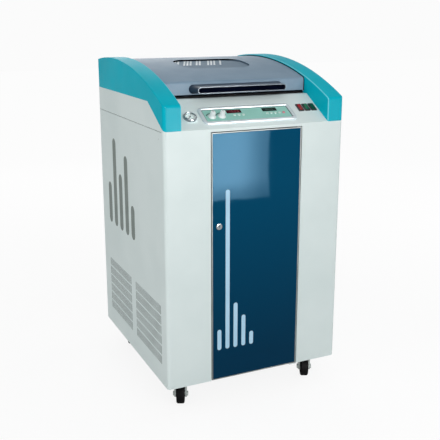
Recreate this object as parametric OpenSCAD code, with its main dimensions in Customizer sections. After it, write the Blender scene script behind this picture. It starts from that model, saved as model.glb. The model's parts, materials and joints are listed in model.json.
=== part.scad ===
// Centrifugal vacuum concentrator: floor cabinet on casters with an arched lid over a rotor chamber.
// Millimetres, Z up, origin on the floor under the middle of the cabinet, front towards -Y.

/* [Cabinet] */
// Width over the side panels
cab_w = 560; // [540:2:620]
// Depth from front face to rear panel
cab_d = 600; // [590:2:660]
// Height of the cabinet from its underside to the seam below the top housing
cab_h = 744; // [720:2:800]
// Thickness of the sheet metal
sheet = 2; // [1.5:0.1:2.5]
// Radius of the front vertical edges
corner_r = 10; // [6:1:14]
// Height of the folded edges of the base pan
pan_lip = 40; // [20:1:60]

/* [Top housing] */
// Height from the seam to the top plate
top_h = 72; // [68:1:90]
// Slope of the control deck
deck_angle = 30; // [26:1:32]
// Height of the upright edge in front of the control deck
deck_lip = 2; // [1:0.5:6]

/* [End caps] */
// Width of an end cap
cap_w = 52; // [44:1:56]
// Wall of an end cap
cap_wall = 3; // [2:0.5:4]
// Height of the upright face at the front of an end cap
cap_front_h = 67; // [60:1:74]
// Height of the crest above the top plate
cap_rise = 101; // [96:1:120]
// Distance of the crest from the front face
cap_crest = 452; // [430:2:480]
// Radius between the front face and the crest
cap_edge_r = 12; // [6:1:16]

/* [Lid] */
// Distance of the lid from the front face
lid_setback = 138; // [132:1:146]
// Step from the end caps down to the lid
lid_drop = 6; // [4:0.5:10]
// Wall of the lid
lid_wall = 4; // [3:0.5:5]
// Gap between the lid and an end cap
lid_gap = 2; // [1.5:0.1:3]
// Gap between the lid and the top plate
lid_lift = 5; // [4:0.5:7]
// Radius at the front edge of the lid
lid_edge_r = 8; // [5:1:12]
// Room for the hinges behind the lid
hinge_room = 16; // [15:1:24]
// Distance of a hinge from the middle
hinge_x = 150; // [110:2:180]
// Radius of a hinge knuckle
knuckle_r = 5.5; // [5:0.1:6]
// Radius of a hinge pin
hinge_pin_r = 2.5; // [2:0.1:3]
// Width of the lid window
window_w = 230; // [200:2:256]
// Depth of the lid window
window_d = 136; // [110:2:144]
// Distance of the window's middle from the front face
window_setback = 315; // [300:2:330]
// Radius of the window's corners
window_corner = 46; // [30:1:50]
// Thickness of the window pane
pane_t = 3; // [2:0.5:5]
// Thickness of the plate that closes the chamber
plate_t = 12; // [8:1:16]

/* [Handle] */
// Length of the grip's front
handle_len = 281; // [220:1:320]
// Height of the grip's front
handle_h = 19; // [16:1:22]
// How far the grip stands out from the lid
handle_reach = 45; // [30:1:50]
// How much wider the root is at each end
handle_flare = 9; // [4:1:14]
// Width of the bright rim around the grip's front
rim_w = 3; // [2:0.5:4]

/* [Door] */
// Width of the door
door_w = 282; // [260:1:300]
// Gap around the door
door_gap = 2.5; // [2.2:0.1:3.5]
// Depth of the door's folded frame
door_d = 20; // [18:1:24]
// Thickness of the door glass
glass_t = 5; // [4:0.5:6]
// Width of the door's rim around the glass
door_rim = 3; // [2:0.5:5]
// Radius of the door's pivot pins
pivot_r = 3; // [2.5:0.1:3.5]
// Distance of the pivot from the door's edge
pivot_in = 8; // [7:0.5:10]
// Distance of the pivot behind the door's face
pivot_back = 6; // [5:0.25:6]
// Height of the strip above the door
header_h = 6; // [6:0.5:14]
// Distance of the lock from the door's free edge
lock_in = 22; // [18:1:40]
// Height of the lock above the cabinet's underside
lock_up = 470; // [470:5:600]
// Radius of the lock's barrel
lock_r = 8; // [6:0.5:9]

/* [Chamber] */
// Radius of the chamber
bowl_r = 165; // [155:1:170]
// Wall of the chamber
bowl_wall = 3; // [2:0.5:4]
// Depth of the chamber
bowl_depth = 150; // [140:1:170]
// Width of the flange around the chamber's mouth
flange_w = 20; // [18:1:22]
// Thickness of that flange
flange_t = 4; // [3.5:0.5:5]
// Thickness of the chamber's seal ring
ring_t = 6; // [5:0.5:6.5]

/* [Rotor] */
// Radius of the rotor
rotor_r = 145; // [135:1:148]
// Thickness of the rotor's tube ring
rotor_t = 24; // [18:1:28]
// Number of tube holes
tube_count = 8; // [6:1:10]
// Radius of a tube hole
tube_r = 16; // [10:0.5:18]
// Radius of the circle of tube holes
tube_ring_r = 112; // [100:1:115]
// Radius of the drive shaft
shaft_r = 10; // [8:0.5:12]
// Radius of the motor
motor_r = 62; // [55:1:70]
// Height of the motor
motor_h = 130; // [110:2:150]

/* [Control panel] */
// Distance of the panel's bezel from the left end cap
bezel_left = 74.5; // [70:0.5:80]
// Distance of the panel's bezel from the right end cap
bezel_right = 90.5; // [86:0.5:94]
// Depth of the panel's bezel, up the slope
bezel_d = 75; // [72:1:80]
// Height of the bezel above the deck
bezel_h = 6; // [5:0.5:8]
// Width of the bezel's frame
bezel_edge = 10.5; // [9.5:0.5:12]
// Place of the bezel's middle up the slope
bezel_v = 55.5; // [52:0.5:60]
// Radius of a knob's skirt
knob_r = 11; // [9:0.5:13]
// Height of a knob
knob_h = 18; // [14:1:22]
// Radius of a push key
key_r = 4; // [3:0.25:4.5]
// Travel of a push key
key_travel = 1.5; // [1:0.1:2]
// Width of a display window
display_w = 46; // [36:1:50]
// Height of a display window
display_h = 15; // [10:1:17]

/* [Gauge and switches] */
// Radius of the gauge's rim
gauge_r = 19; // [18:0.5:22]
// Distance of the gauge's middle from the left end cap
gauge_in = 43; // [39:0.5:46]
// Place of the gauge up the slope
gauge_v = 54; // [45:1:65]
// Width of a switch frame
switch_w = 17.5; // [17:0.5:20]
// Length of a switch frame
switch_l = 32; // [30:0.5:36]
// Spacing of the switches
switch_pitch = 21; // [20.5:0.5:24]
// Distance of the middle switch from the right end cap
switch_in = 38; // [34:0.5:42]
// Place of the switches up the slope
switch_v = 70.5; // [55:0.5:85]
// Tilt of a rocker to each side
rocker_tilt = 7; // [4:0.5:8]

/* [Vents] */
// Width of a block of slots
vent_w = 228; // [150:2:236]
// Rows in a block
vent_rows = 6; // [3:1:8]
// Height of a slot
slot_h = 26; // [18:1:28]
// Width of a slot
slot_w = 3.6; // [2:0.1:5]
// Spacing of the slots in a row
slot_pitch = 9.5; // [8:0.5:14]
// Height of the solid strip between two rows
slot_gap = 5; // [4:1:10]
// Height of the lowest row above the cabinet's underside
vent_up = 61; // [45:1:80]
// Distance of the first block from the front face
vent_in = 48; // [40:1:60]
// Solid strip between two blocks
vent_apart = 40; // [30:1:60]

/* [Casters] */
// Height of a caster
caster_h = 78; // [76:1:90]
// Radius of a wheel
wheel_r = 30; // [26:0.5:30]
// Width of a wheel
wheel_w = 24; // [18:1:28]
// Distance from the swivel axis to the wheel's axle
trail = 18; // [12:1:22]
// Distance of a swivel axis from the cabinet's side
caster_in = 67; // [60:1:90]
// Distance of a swivel axis from the cabinet's front or rear
caster_end = 70; // [62:1:90]
// Turn of the casters at rest
caster_turn = -25; // [-180:5:180]
// Radius of a wheel's axle
axle_r = 5; // [4:0.5:6]
// Radius of a swivel pin
king_r = 6; // [5:0.5:7]

/* [Hidden] */
$fn = 72;
arc_fn = 720; // facets of the wide arcs over the lid and end caps
run = 0.05; // running clearance of a pin in its bore
fit = 0.3; // clearance of pieces that pass each other
eps = 1; // how far a cut runs past a face

WHITE = [0.88, 0.92, 0.92];
TEAL = [0.05, 0.62, 0.69];
SLATE = [0.47, 0.55, 0.64];
NAVY = [0.02, 0.22, 0.36];
STEEL = [0.72, 0.74, 0.76];
BLACK = [0.08, 0.08, 0.09];
GREEN = [0.49, 0.74, 0.65];

front = -cab_d / 2;
rear = cab_d / 2;
side = cab_w / 2;
under = caster_h;
seam = under + cab_h;
top_z = seam + top_h;
deck_z = seam + deck_lip;
panel_seam = 1.5; // dark line between the side panels and the top housing

// The crest is one arc from the front face of an end cap to the rear.
crest_y = front + cap_crest;
crest_z = top_z + cap_rise;
crest_up = crest_z - deck_z - cap_front_h;
crest_r = (pow(cap_crest, 2) + pow(crest_up, 2)) / (2 * crest_up);
crest_cz = crest_z - crest_r;

lid_front = front + lid_setback;
lid_rear = rear - hinge_room;
lid_w = cab_w - 2 * (cap_w + lid_gap);
lid_r = crest_r - lid_drop;
lid_z = top_z + lid_lift;
hinge_gap = 2.5;
hinge_y = lid_rear + hinge_gap + knuckle_r;
hinge_z = top_z + knuckle_r + hinge_gap;
leaf_t = 2;
leaf_h = 30;
knuckle_w = 20;
knuckle_foot_in = 1;
knuckle_foot = 2 * (knuckle_r - knuckle_foot_in);
post_r = 7;
post_x = 150;
post_y = 100;
pane_lap = 10;
strip_w = 6;
strip_in = 1;
window_y = front + window_setback;

handle_up = 20;
handle_z = lid_z + handle_up;
handle_swell = 7;
handle_root_h = handle_h + handle_swell;
handle_root_t = 4;
handle_face_t = 6;
handle_recess = 10;
trim_t = 1.5;

door_open_w = door_w + 2 * door_gap;
door_top = seam - header_h;
door_lift = 1;
door_low = under + door_lift;
door_high = door_top - door_gap;
pivot_x = door_w / 2 - pivot_in;
pivot_y = front + pivot_back;
skin_t = 1.5;
pivot_plate_t = 3;
pin_spare = 1;
tongue_w = 24;
tongue_lap = 25;
pan_room = 2;
pan_front = pivot_y + sqrt(pow(pivot_in, 2) + pow(door_d - pivot_back, 2)) + pan_room;
jamb_d = door_d;
return_flat = 6;
return_d = corner_r + return_flat;
lock_x = -door_w / 2 + lock_in;
lock_z = under + lock_up;
lock_proud = 4;
lock_edge = 1.5;
keyway = [1.6, 8, 5];
cam_t = 2;
cam_w = 12;
cam_lap = 8;
cam_len = lock_in + door_gap + cam_lap;

chamber_y = (lid_front + lid_rear) / 2;
bowl_floor = top_z - bowl_depth;
bowl_base = bowl_floor - bowl_wall;
flange_z = top_z + flange_t;
bowl_edge_r = 18;
nose_r = 29;
ring_r = bowl_r + flange_w / 2;
groove_d = ring_t / 2;
plate_z = flange_z - groove_d + ring_t + 2 * fit;
plate_over = 10;
plate_r = bowl_r + flange_w + plate_over;
port_up = 26;
port_z = bowl_floor + port_up;
hose_r = 12;
port_out = 14;
port_end = chamber_y - bowl_r - port_out;

motor_top = bowl_base;
motor_flange_t = 12;
motor_flange_in = 8;
motor_flange_r = motor_r - motor_flange_in;
motor_boss_in = 20;
motor_boss_r = motor_r - motor_boss_in;
motor_boss_h = 10;
motor_low = motor_top - motor_flange_t - motor_h;
cooling_count = 6;
cooling_w = 6;
cooling_d = 4;
nose_up = 6;
rotor_up = 26;
rotor_z = bowl_floor + rotor_up;
hub_r = 30;
web_t = 10;
rotor_lip_w = 6;
rotor_lip_h = 4;
tube_wall = 8;
dish_r = tube_ring_r - tube_r - tube_wall;
shaft_drop = 95;
shaft_low = motor_top - shaft_drop;
shaft_over = 8;
shaft_high = rotor_z + rotor_t + shaft_over;
rotor_knob_r = 22;
rotor_knob_h = 22;
lobe_r = 5;
lobe_lap = 1;

lamp_r = 6;
lamp_len = 90;
lamp_in = 14;
lamp_down = 26;
lamp_z = top_z - lamp_down;
clip_w = 10;
clip_edge = 2;

floor_z = under + sheet;
trap_x = 60;
trap_back = 120;
trap_y = front + trap_back;
trap_r = 80;
trap_h = 250;
trap_cover_h = 14;
trap_cover_lap = 2;
stub_h = 16;
stub_y = 20;
trap_port_z = floor_z + trap_h + trap_cover_h + stub_h;
bend_r = 40;
pump_x = -90;
pump_y = trap_y - stub_y;
pump_block = [100, 90, 115];
pump_motor_r = 50;
pump_motor_l = 150;
pump_foot_t = 8;
pump_foot_over = 20;
pump_cap_in = 10;
pump_cap_r = pump_motor_r - pump_cap_in;
pump_cap_h = 12;
saddle_w = 40;
saddle_in = 30;
saddle_lap = 10;
saddle_h = pump_block[2] / 2 - pump_motor_r + saddle_lap;
pump_port_z = floor_z + pump_foot_t + pump_block[2] + stub_h;
coil_x = -110;
coil_up = 110;
coil_z = floor_z + coil_up;
coil_size = [240, 40, 200];
coil_in = 45;
coil_y = rear - sheet - coil_in;
fin_count = 24;
fin_t = 1.2;
pipe_r = 5;
pipe_pitch = 38;
coil_foot = 20;
coil_foot_in = 25;
fan_r = 88;
fan_hub_r = 26;
fan_hub_h = 19;
fan_axle_r = 4;
fan_near = 16;
blade_w = 34;
blade_t = 2;
blade_tilt = 28;
blade_root = 4;
shroud_r = fan_r + 5;
shroud_d = 40;
arm_w = 10;
arm_t = 4;
fan_gap = 1;
fan_motor_near = fan_near + fan_hub_h + fan_gap;
fan_motor_h = 30;
fan_axle_over = 4;
fan_axle_near = fan_near - fan_axle_over;
compressor_x = 150;
compressor_y = 60;
compressor_r = 70;
compressor_h = 170;
dome_h = 40;
dome_r = 82;

deck_side = side - cap_w;
bezel_l = bezel_left - deck_side;
bezel_r = deck_side - bezel_right;
bezel_w = bezel_r - bezel_l;
bezel_x = (bezel_l + bezel_r) / 2;
panel_w = bezel_w - 2 * bezel_edge;
panel_d = bezel_d - 2 * bezel_edge;
panel_t = 2;
panel_lap = 6;
bezel_corner = 14;
bezel_slant = 4;
panel_corner = 6;
pocket_d = 1;
display_up = 0.6;
display_left = 106.5;
display_right = 71.5;
display_x = [bezel_l + display_left, bezel_r - display_right];
display_rise = 14;
display_v = bezel_v + display_rise;
lamp_lens_in = 31.5;
lamp_lens_x = bezel_r - lamp_lens_in;
lamp_lens_r = 4.5;
lamp_lens_up = 3;
key_left = 102.5;
key_left_pitch = 14;
key_right = 84.5;
key_right_pitch = 13;
key_x = [
  for (i = [0:2]) bezel_l + key_left + i * key_left_pitch,
  for (i = [0:3]) bezel_r - key_right + i * key_right_pitch
];
key_fall = 3.5;
key_v = bezel_v - key_fall;
key_up = 1.8;
key_edge = 0.6;
key_stem = 8;
key_collar_w = 1.4;
key_collar_t = 1.5;
knob_in = 32.5;
knob_pitch = 30;
knob_x = [bezel_l + knob_in, bezel_l + knob_in + knob_pitch];
knob_fall = 5.5;
knob_v = bezel_v - knob_fall;
stem_r = 3;
stem_low = 10;
skirt_h = 2;
skirt_edge = 1.5;
grip_in = 2.5;
grip_r = knob_r - grip_in;
grip_top_in = 4.5;
grip_top_r = knob_r - grip_top_in;
notch = [1.2, 7, 1];
board_z = -14;
board_t = 1.6;
board_in = [6, 1];
board_w = panel_w - 2 * (panel_lap + board_in[0]);
board_d = panel_d - 2 * (panel_lap + board_in[1]);
board_post_r = 3;
pot_w = 14;
key_switch_w = 6;

gauge_x = deck_side - gauge_in;
gauge_wall = 3;
gauge_rim_h = 8;
gauge_floor = 2;
gauge_deep = 18;
gauge_edge = 1.5;
lens_t = 1.5;
lens_down = 2.2;
lens_low = gauge_rim_h - lens_down;
needle_axle_r = 1;
needle_room = 0.4;
needle_axle_h = lens_low - needle_room;
needle_len = 13;
needle_tail = 4;
needle_w = 1.2;
needle_t = 0.8;
needle_hub_r = 2.4;
needle_hub_h = 2;
needle_rest = 225;

switch_x = deck_side - switch_in;
switch_wall = 1.8;
switch_deep = 16;
switch_flange = 1.6;
switch_rim_h = 3;
switch_corner = 2;
rocker_pin_r = 1.5;
rocker_pin_l = 1.4;
rocker_axis = -3;
rocker_end = 8.5;
rocker_dip = 6.5;
rocker_keel = 5;
rocker_room = 2;
rocker_shoulder = 1;

inlet_in = 100;
inlet_x = side - inlet_in;
inlet_up = 80;
inlet_z = under + inlet_up;
inlet_w = 28;
inlet_h = 20;
inlet_deep = 22;
inlet_wall = 3;
inlet_lap = [6, 4];
inlet_flange = [inlet_w, inlet_h] + 2 * inlet_lap;
inlet_flange_t = 4;
inlet_pins = [[-7, -2], [7, -2], [0, 3]];
inlet_pin = [2, 12, 4];

plate_h = 3;
plate_size = [54, 60];
plate_corner = 5;
king_head_w = 3;
king_head_t = 1.4;
fork_room = 3;
fork_top = 2 * wheel_r + fork_room;
fork_t = 3;
fork_plate = 5;
fork_gap = 1.5;
fork_bridge = 36;
fork_top_r = 21;
race_r = 20;
race_in = 14;
leg_r = 11;
bolt_head_w = 3;
bolt_head_t = 4;
king_low = fork_top - king_head_t - fit;
tread_r = 5;
wheel_hub_w = 7;
wheel_rim_w = 8;
wheel_dish = 3;
corners = [[-1, -1], [1, -1], [-1, 1], [1, 1]];

// Placing and outlines

// Extrude a (y, z) outline along X.
module along_x(x0, len) translate([x0, 0, 0]) rotate([90, 0, 90]) linear_extrude(len) children();

// Extrude an (x, z) outline along Y.
module along_y(y0, len) translate([0, y0 + len, 0]) rotate([90, 0, 0]) linear_extrude(len) children();

// A place on the control deck: x across, v up the slope, z square to it.
module on_deck(x, v) translate([x, front, deck_z]) rotate([deck_angle, 0, 0]) translate([0, v, 0]) children();

module both_sides() {
  children();
  mirror([1, 0, 0]) children();
}

module rounded_rect(w, d, r) {
  square([w - 2 * r, d], center = true);
  square([w, d - 2 * r], center = true);
  for (x = [-1, 1], y = [-1, 1]) translate([x * (w / 2 - r), y * (d / 2 - r)]) circle(r);
}

module stadium(len, wide) {
  square([len - wide, wide], center = true);
  for (x = [-1, 1]) translate([x * (len - wide) / 2, 0]) circle(d = wide);
}

module tube(r_out, r_in, h) difference() {
  cylinder(r = r_out, h = h);
  translate([0, 0, -eps]) cylinder(r = r_in, h = h + 2 * eps);
}

// What a square corner at the origin loses when it is rounded by r.
module corner_waste(r) difference() {
  translate([-eps, -eps]) square(r + eps);
  translate([r, r]) circle(r);
}

// The cabinet seen from above, with its front corners rounded.
module plan(inset) {
  r = corner_r - inset;
  w = side - inset;
  difference() {
    translate([-w, front + inset]) square([2 * w, cab_d - 2 * inset]);
    translate([-w, front + inset]) corner_waste(r);
    translate([w, front + inset]) mirror([1, 0]) corner_waste(r);
  }
}

module plan_block(inset) translate([0, 0, under]) linear_extrude(crest_z) plan(inset);

// Cabinet

module base_pan() color(STEEL) difference() {
  union() {
    difference() {
      translate([-side + sheet, pan_front, under])
        cube([cab_w - 2 * sheet, rear - sheet - pan_front, pan_lip]);
      translate([-side + 2 * sheet, pan_front + sheet, floor_z])
        cube([cab_w - 4 * sheet, rear - 3 * sheet - pan_front, pan_lip]);
    }
    // Tongue under the door that holds its lower pivot
    translate([pivot_x - tongue_w / 2, front + eps, under - pivot_plate_t])
      cube([tongue_w, pan_front + tongue_lap - front, pivot_plate_t]);
  }
  translate([pivot_x, pivot_y, under - pivot_plate_t - eps])
    cylinder(r = pivot_r + run, h = pivot_plate_t + 2 * eps);
}

// Left column in plan: rounded corner, short return along the side, deeper jamb along the door.
module column_plan() {
  w = side - door_open_w / 2;
  difference() {
    translate([-side, front]) square([w, jamb_d]);
    translate([-side, front]) corner_waste(corner_r);
    difference() {
      translate([-side + sheet, front + sheet]) square([w - 2 * sheet, jamb_d]);
      translate([-side + sheet, front + sheet]) corner_waste(corner_r - sheet);
    }
    translate([-side - eps, front + return_d]) square([sheet + 2 * eps, jamb_d]);
  }
}

module front_fascia() color(WHITE) difference() {
  union() {
    both_sides() translate([0, 0, under]) linear_extrude(cab_h) column_plan();
    along_x(-door_open_w / 2 - sheet, door_open_w + 2 * sheet) {
      translate([front, door_top]) square([sheet, header_h]);
      translate([front, door_top]) square([jamb_d, pivot_plate_t]);
    }
  }
  translate([pivot_x, pivot_y, door_top - eps]) cylinder(r = pivot_r + run, h = pivot_plate_t + 2 * eps);
}

// Rows of upright slots, from the lower left corner of the block.
module vent_block(w) {
  count = floor((w - slot_w) / slot_pitch) + 1;
  for (row = [0:vent_rows - 1], i = [0:count - 1])
    translate([i * slot_pitch, row * (slot_h + slot_gap)]) square([slot_w, slot_h]);
}

module left_side_panel() color(WHITE) along_x(-side, sheet) difference() {
  translate([front + return_d, under]) square([cab_d - return_d - sheet, cab_h - panel_seam]);
  for (k = [0, 1])
    translate([front + vent_in + k * (vent_w + vent_apart), under + vent_up]) vent_block(vent_w);
}

module right_side_panel() mirror([1, 0, 0]) left_side_panel();

module rear_panel() color(WHITE) along_y(rear - sheet, sheet) difference() {
  translate([-side, under]) square([cab_w, cab_h]);
  translate([coil_x - vent_w / 2, under + vent_up]) vent_block(vent_w);
  translate([inlet_x, inlet_z]) square([inlet_w, inlet_h], center = true);
}

module housing_profile(inset, drop) {
  over = inset / cos(deck_angle);
  polygon([
    [front + inset, seam - drop],
    [front + inset, deck_z + inset * tan(deck_angle) - over],
    [front + (top_h - deck_lip - inset + over) / tan(deck_angle), top_z - inset],
    [rear - inset, top_z - inset],
    [rear - inset, seam - drop]
  ]);
}

module deck_cut(x, v) on_deck(x, v) translate([0, 0, -sheet - eps])
  linear_extrude(sheet + 2 * eps) children();

module top_housing() color(WHITE) difference() {
  intersection() {
    along_x(-side, cab_w) housing_profile(0, 0);
    plan_block(0);
  }
  intersection() {
    along_x(-side, cab_w) housing_profile(sheet, eps);
    plan_block(sheet);
  }
  translate([0, chamber_y, top_z - sheet - eps])
    cylinder(r = bowl_r + bowl_wall + fit, h = sheet + 2 * eps);
  deck_cut(bezel_x, bezel_v) square([panel_w - 2 * panel_lap, panel_d - 2 * panel_lap], center = true);
  deck_cut(-gauge_x, gauge_v) circle(gauge_r - gauge_wall + fit);
  for (k = [-1:1]) deck_cut(switch_x + k * switch_pitch, switch_v)
    square([switch_w - 2 * switch_flange + 2 * fit, switch_l - 2 * switch_flange + 2 * fit], center = true);
}

// Area below the crest and above the deck, with the front edge rounded by the arc of radius r.
module crest_profile(inset, y0, y1, z0, drop, r) {
  big = crest_r - inset - drop;
  yc = y0 + r;
  zc = crest_cz + sqrt(pow(big - r, 2) - pow(yc - crest_y, 2));
  touch = crest_y + (yc - crest_y) * big / (big - r);
  difference() {
    intersection() {
      translate([crest_y, crest_cz]) circle(big, $fn = arc_fn);
      translate([y0, z0]) square([y1 - y0, crest_z - z0]);
    }
    difference() {
      translate([y0 - eps, zc]) square([touch - y0 + eps, crest_z - zc]);
      translate([yc, zc]) circle(r);
    }
  }
}

module left_end_cap() color(TEAL) difference() {
  intersection() {
    along_x(-side, cap_w) crest_profile(0, front, rear, deck_z, 0, cap_edge_r);
    plan_block(0);
  }
  intersection() {
    along_x(-side + cap_wall, cap_w - 2 * cap_wall)
      crest_profile(cap_wall, front + cap_wall, rear - cap_wall, seam, 0, cap_edge_r - cap_wall);
    plan_block(cap_wall);
  }
  along_x(-side - eps, cap_w + 2 * eps) housing_profile(0, eps);
}

module right_end_cap() mirror([1, 0, 0]) left_end_cap();

// Chamber and drive

module chamber_bowl() color(STEEL) {
  translate([0, chamber_y, 0]) difference() {
    union() {
      translate([0, 0, bowl_base]) cylinder(r = bowl_r + bowl_wall, h = top_z - bowl_base);
      translate([0, 0, top_z]) cylinder(r = bowl_r + flange_w, h = flange_t);
      translate([trap_x, 0, port_z]) rotate([90, 0, 0]) cylinder(r = hose_r, h = chamber_y - port_end);
    }
    rotate_extrude() difference() {
      translate([0, bowl_floor]) square([bowl_r, bowl_depth + flange_t + eps]);
      translate([bowl_r, bowl_floor]) mirror([1, 0]) corner_waste(bowl_edge_r);
    }
    translate([0, 0, bowl_base - eps]) cylinder(r = nose_r + fit, h = bowl_wall + 2 * eps);
    translate([0, 0, flange_z - groove_d])
      tube(ring_r + ring_t / 2 + fit, ring_r - ring_t / 2 - fit, groove_d + eps);
    translate([trap_x, 0, port_z]) rotate([90, 0, 0])
      cylinder(r = hose_r - bowl_wall, h = chamber_y - port_end + eps);
  }
}

// Strip below the lid's edge, and the round ring that the seal plate closes on.
module lid_seals() color(BLACK) {
  strip_x = lid_w - 2 * strip_in;
  strip_y = lid_rear - lid_front - 2 * strip_in;
  translate([0, chamber_y, top_z]) linear_extrude(lid_lift - fit) difference() {
    square([strip_x, strip_y], center = true);
    square([strip_x - 2 * strip_w, strip_y - 2 * strip_w], center = true);
  }
  translate([0, chamber_y, flange_z - groove_d + ring_t / 2 + fit])
    rotate_extrude() translate([ring_r, 0]) circle(d = ring_t);
}

module drive_motor() color(STEEL) translate([0, chamber_y, 0]) difference() {
  union() {
    translate([0, 0, motor_top]) cylinder(r = nose_r, h = bowl_wall + nose_up);
    translate([0, 0, motor_top - motor_flange_t]) cylinder(r = motor_flange_r, h = motor_flange_t);
    translate([0, 0, motor_low]) cylinder(r = motor_r, h = motor_h);
    translate([0, 0, motor_low - motor_boss_h]) cylinder(r = motor_boss_r, h = motor_boss_h);
  }
  translate([0, 0, shaft_low - fit]) cylinder(r = shaft_r + run, h = rotor_z - shaft_low);
  // Cooling grooves round the body
  for (i = [1:cooling_count]) translate([0, 0, motor_low + i * motor_h / (cooling_count + 1)])
    tube(motor_r + eps, motor_r - cooling_d, cooling_w);
}

module infrared_lamps() color("white") translate([0, chamber_y, 0]) for (a = [0:90:270]) rotate([0, 0, a]) {
  reach = bowl_r - lamp_in;
  translate([-lamp_len / 2, -reach, lamp_z]) rotate([0, 90, 0]) cylinder(r = lamp_r, h = lamp_len);
  for (s = [-1, 1]) intersection() {
    translate([s * lamp_len / 2 - clip_w / 2, -bowl_r, lamp_z - lamp_r - clip_edge])
      cube([clip_w, lamp_in + lamp_r, 2 * (lamp_r + clip_edge)]);
    cylinder(r = bowl_r - fit, h = crest_z);
  }
}

module drive_shaft() color(STEEL) translate([0, chamber_y, shaft_low])
  cylinder(r = shaft_r, h = shaft_high - shaft_low);

// Dished rotor: a hub, a thin web and a thick ring with the tube holes.
module rotor() color("silver") translate([0, chamber_y, rotor_z]) difference() {
  union() {
    cylinder(r = rotor_r, h = rotor_t);
    translate([0, 0, rotor_t]) tube(rotor_r, rotor_r - rotor_lip_w, rotor_lip_h);
  }
  translate([0, 0, web_t]) tube(dish_r, hub_r, rotor_t);
  translate([0, 0, -eps]) cylinder(r = shaft_r + run, h = rotor_t + 2 * eps);
  for (i = [0:tube_count - 1]) rotate([0, 0, (i + 0.5) * 360 / tube_count])
    translate([tube_ring_r, 0, -eps]) cylinder(r = tube_r, h = rotor_t + 2 * eps);
}

module rotor_knob() color(BLACK) translate([0, chamber_y, rotor_z + rotor_t]) difference() {
  union() {
    cylinder(r = rotor_knob_r - lobe_r + lobe_lap, h = rotor_knob_h);
    for (a = [0:60:300]) rotate([0, 0, a]) translate([rotor_knob_r - lobe_r, 0, 0])
      cylinder(r = lobe_r, h = rotor_knob_h);
  }
  translate([0, 0, -eps]) cylinder(r = shaft_r + run, h = shaft_high - rotor_z - rotor_t + eps + fit);
}

// Vacuum and cooling

module cold_trap() color(STEEL) translate([trap_x, trap_y, floor_z]) {
  cylinder(r = trap_r, h = trap_h);
  translate([0, 0, trap_h]) cylinder(r = trap_r + trap_cover_lap, h = trap_cover_h);
  for (s = [-1, 1]) translate([0, s * stub_y, trap_h + trap_cover_h]) cylinder(r = hose_r, h = stub_h);
}

module vacuum_pump() color(NAVY) translate([pump_x, pump_y, floor_z]) {
  mid = pump_foot_t + pump_block[2] / 2;
  translate([-pump_block[0] / 2, -pump_block[1] / 2, 0])
    cube([pump_block[0], pump_block[1] + pump_motor_l + pump_foot_over, pump_foot_t]);
  translate([-pump_block[0] / 2, -pump_block[1] / 2, pump_foot_t]) cube(pump_block);
  translate([0, pump_block[1] / 2, mid]) rotate([-90, 0, 0]) cylinder(r = pump_motor_r, h = pump_motor_l);
  translate([0, pump_block[1] / 2 + pump_motor_l, mid]) rotate([-90, 0, 0])
    cylinder(r = pump_cap_r, h = pump_cap_h);
  translate([-saddle_w / 2, pump_block[1] / 2 + saddle_in, pump_foot_t])
    cube([saddle_w, pump_motor_l - 2 * saddle_in, saddle_h]);
  translate([0, 0, pump_foot_t + pump_block[2]]) cylinder(r = hose_r, h = stub_h);
}

module condensing_unit() color(STEEL) {
  // Compressor with a domed top
  translate([compressor_x, compressor_y, floor_z]) {
    cylinder(r = compressor_r, h = compressor_h - dome_h);
    intersection() {
      translate([0, 0, compressor_h - dome_h]) cylinder(r = compressor_r, h = dome_h);
      translate([0, 0, compressor_h - dome_r]) sphere(r = dome_r);
    }
  }
  // Finned condenser standing on two feet
  translate([coil_x, coil_y, coil_z]) {
    for (i = [0:fin_count - 1])
      translate([-coil_size[0] / 2 + i * (coil_size[0] - fin_t) / (fin_count - 1), 0, -coil_size[2] / 2])
        cube([fin_t, coil_size[1], coil_size[2]]);
    for (k = [-2:2]) translate([-coil_size[0] / 2, coil_size[1] / 2, k * pipe_pitch]) rotate([0, 90, 0])
      cylinder(r = pipe_r, h = coil_size[0]);
    // Shroud with the fan's motor on three arms
    rotate([90, 0, 0]) {
      linear_extrude(sheet) difference() {
        square([coil_size[0], coil_size[2]], center = true);
        circle(shroud_r);
      }
      tube(shroud_r + sheet, shroud_r, shroud_d);
      translate([0, 0, shroud_d]) for (a = [0:120:240]) rotate([0, 0, a + 90])
        translate([0, -arm_w / 2, 0]) cube([shroud_r + sheet, arm_w, arm_t]);
      translate([0, 0, fan_motor_near]) cylinder(r = fan_hub_r, h = fan_motor_h);
      translate([0, 0, fan_axle_near]) cylinder(r = fan_axle_r, h = fan_motor_near - fan_axle_near + eps);
    }
    for (s = [-1, 1])
      translate([s * (coil_size[0] / 2 - coil_foot_in) - coil_foot / 2, -sheet, floor_z - coil_z])
        cube([coil_foot, coil_size[1] + sheet, coil_z - floor_z - coil_size[2] / 2]);
  }
}

module fan_blades() color(BLACK) translate([coil_x, coil_y, coil_z]) rotate([90, 0, 0]) difference() {
  union() {
    translate([0, 0, fan_near]) cylinder(r = fan_hub_r, h = fan_hub_h);
    intersection() {
      for (a = [0:72:288]) rotate([0, 0, a]) translate([0, 0, fan_near + fan_hub_h / 2])
        rotate([blade_tilt, 0, 0]) translate([fan_hub_r - blade_root, -blade_w / 2, -blade_t / 2])
          cube([fan_r, blade_w, blade_t]);
      cylinder(r = fan_r, h = shroud_d);
    }
  }
  translate([0, 0, fan_near - eps]) cylinder(r = fan_axle_r + run, h = fan_hub_h + 2 * eps);
}

// A quarter bend from +Z at the origin over to +X.
module bend(r) translate([r, 0, 0]) rotate([90, 0, 0]) rotate([0, 0, 90])
  rotate_extrude(angle = 90) translate([r, 0]) circle(hose_r);

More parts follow.
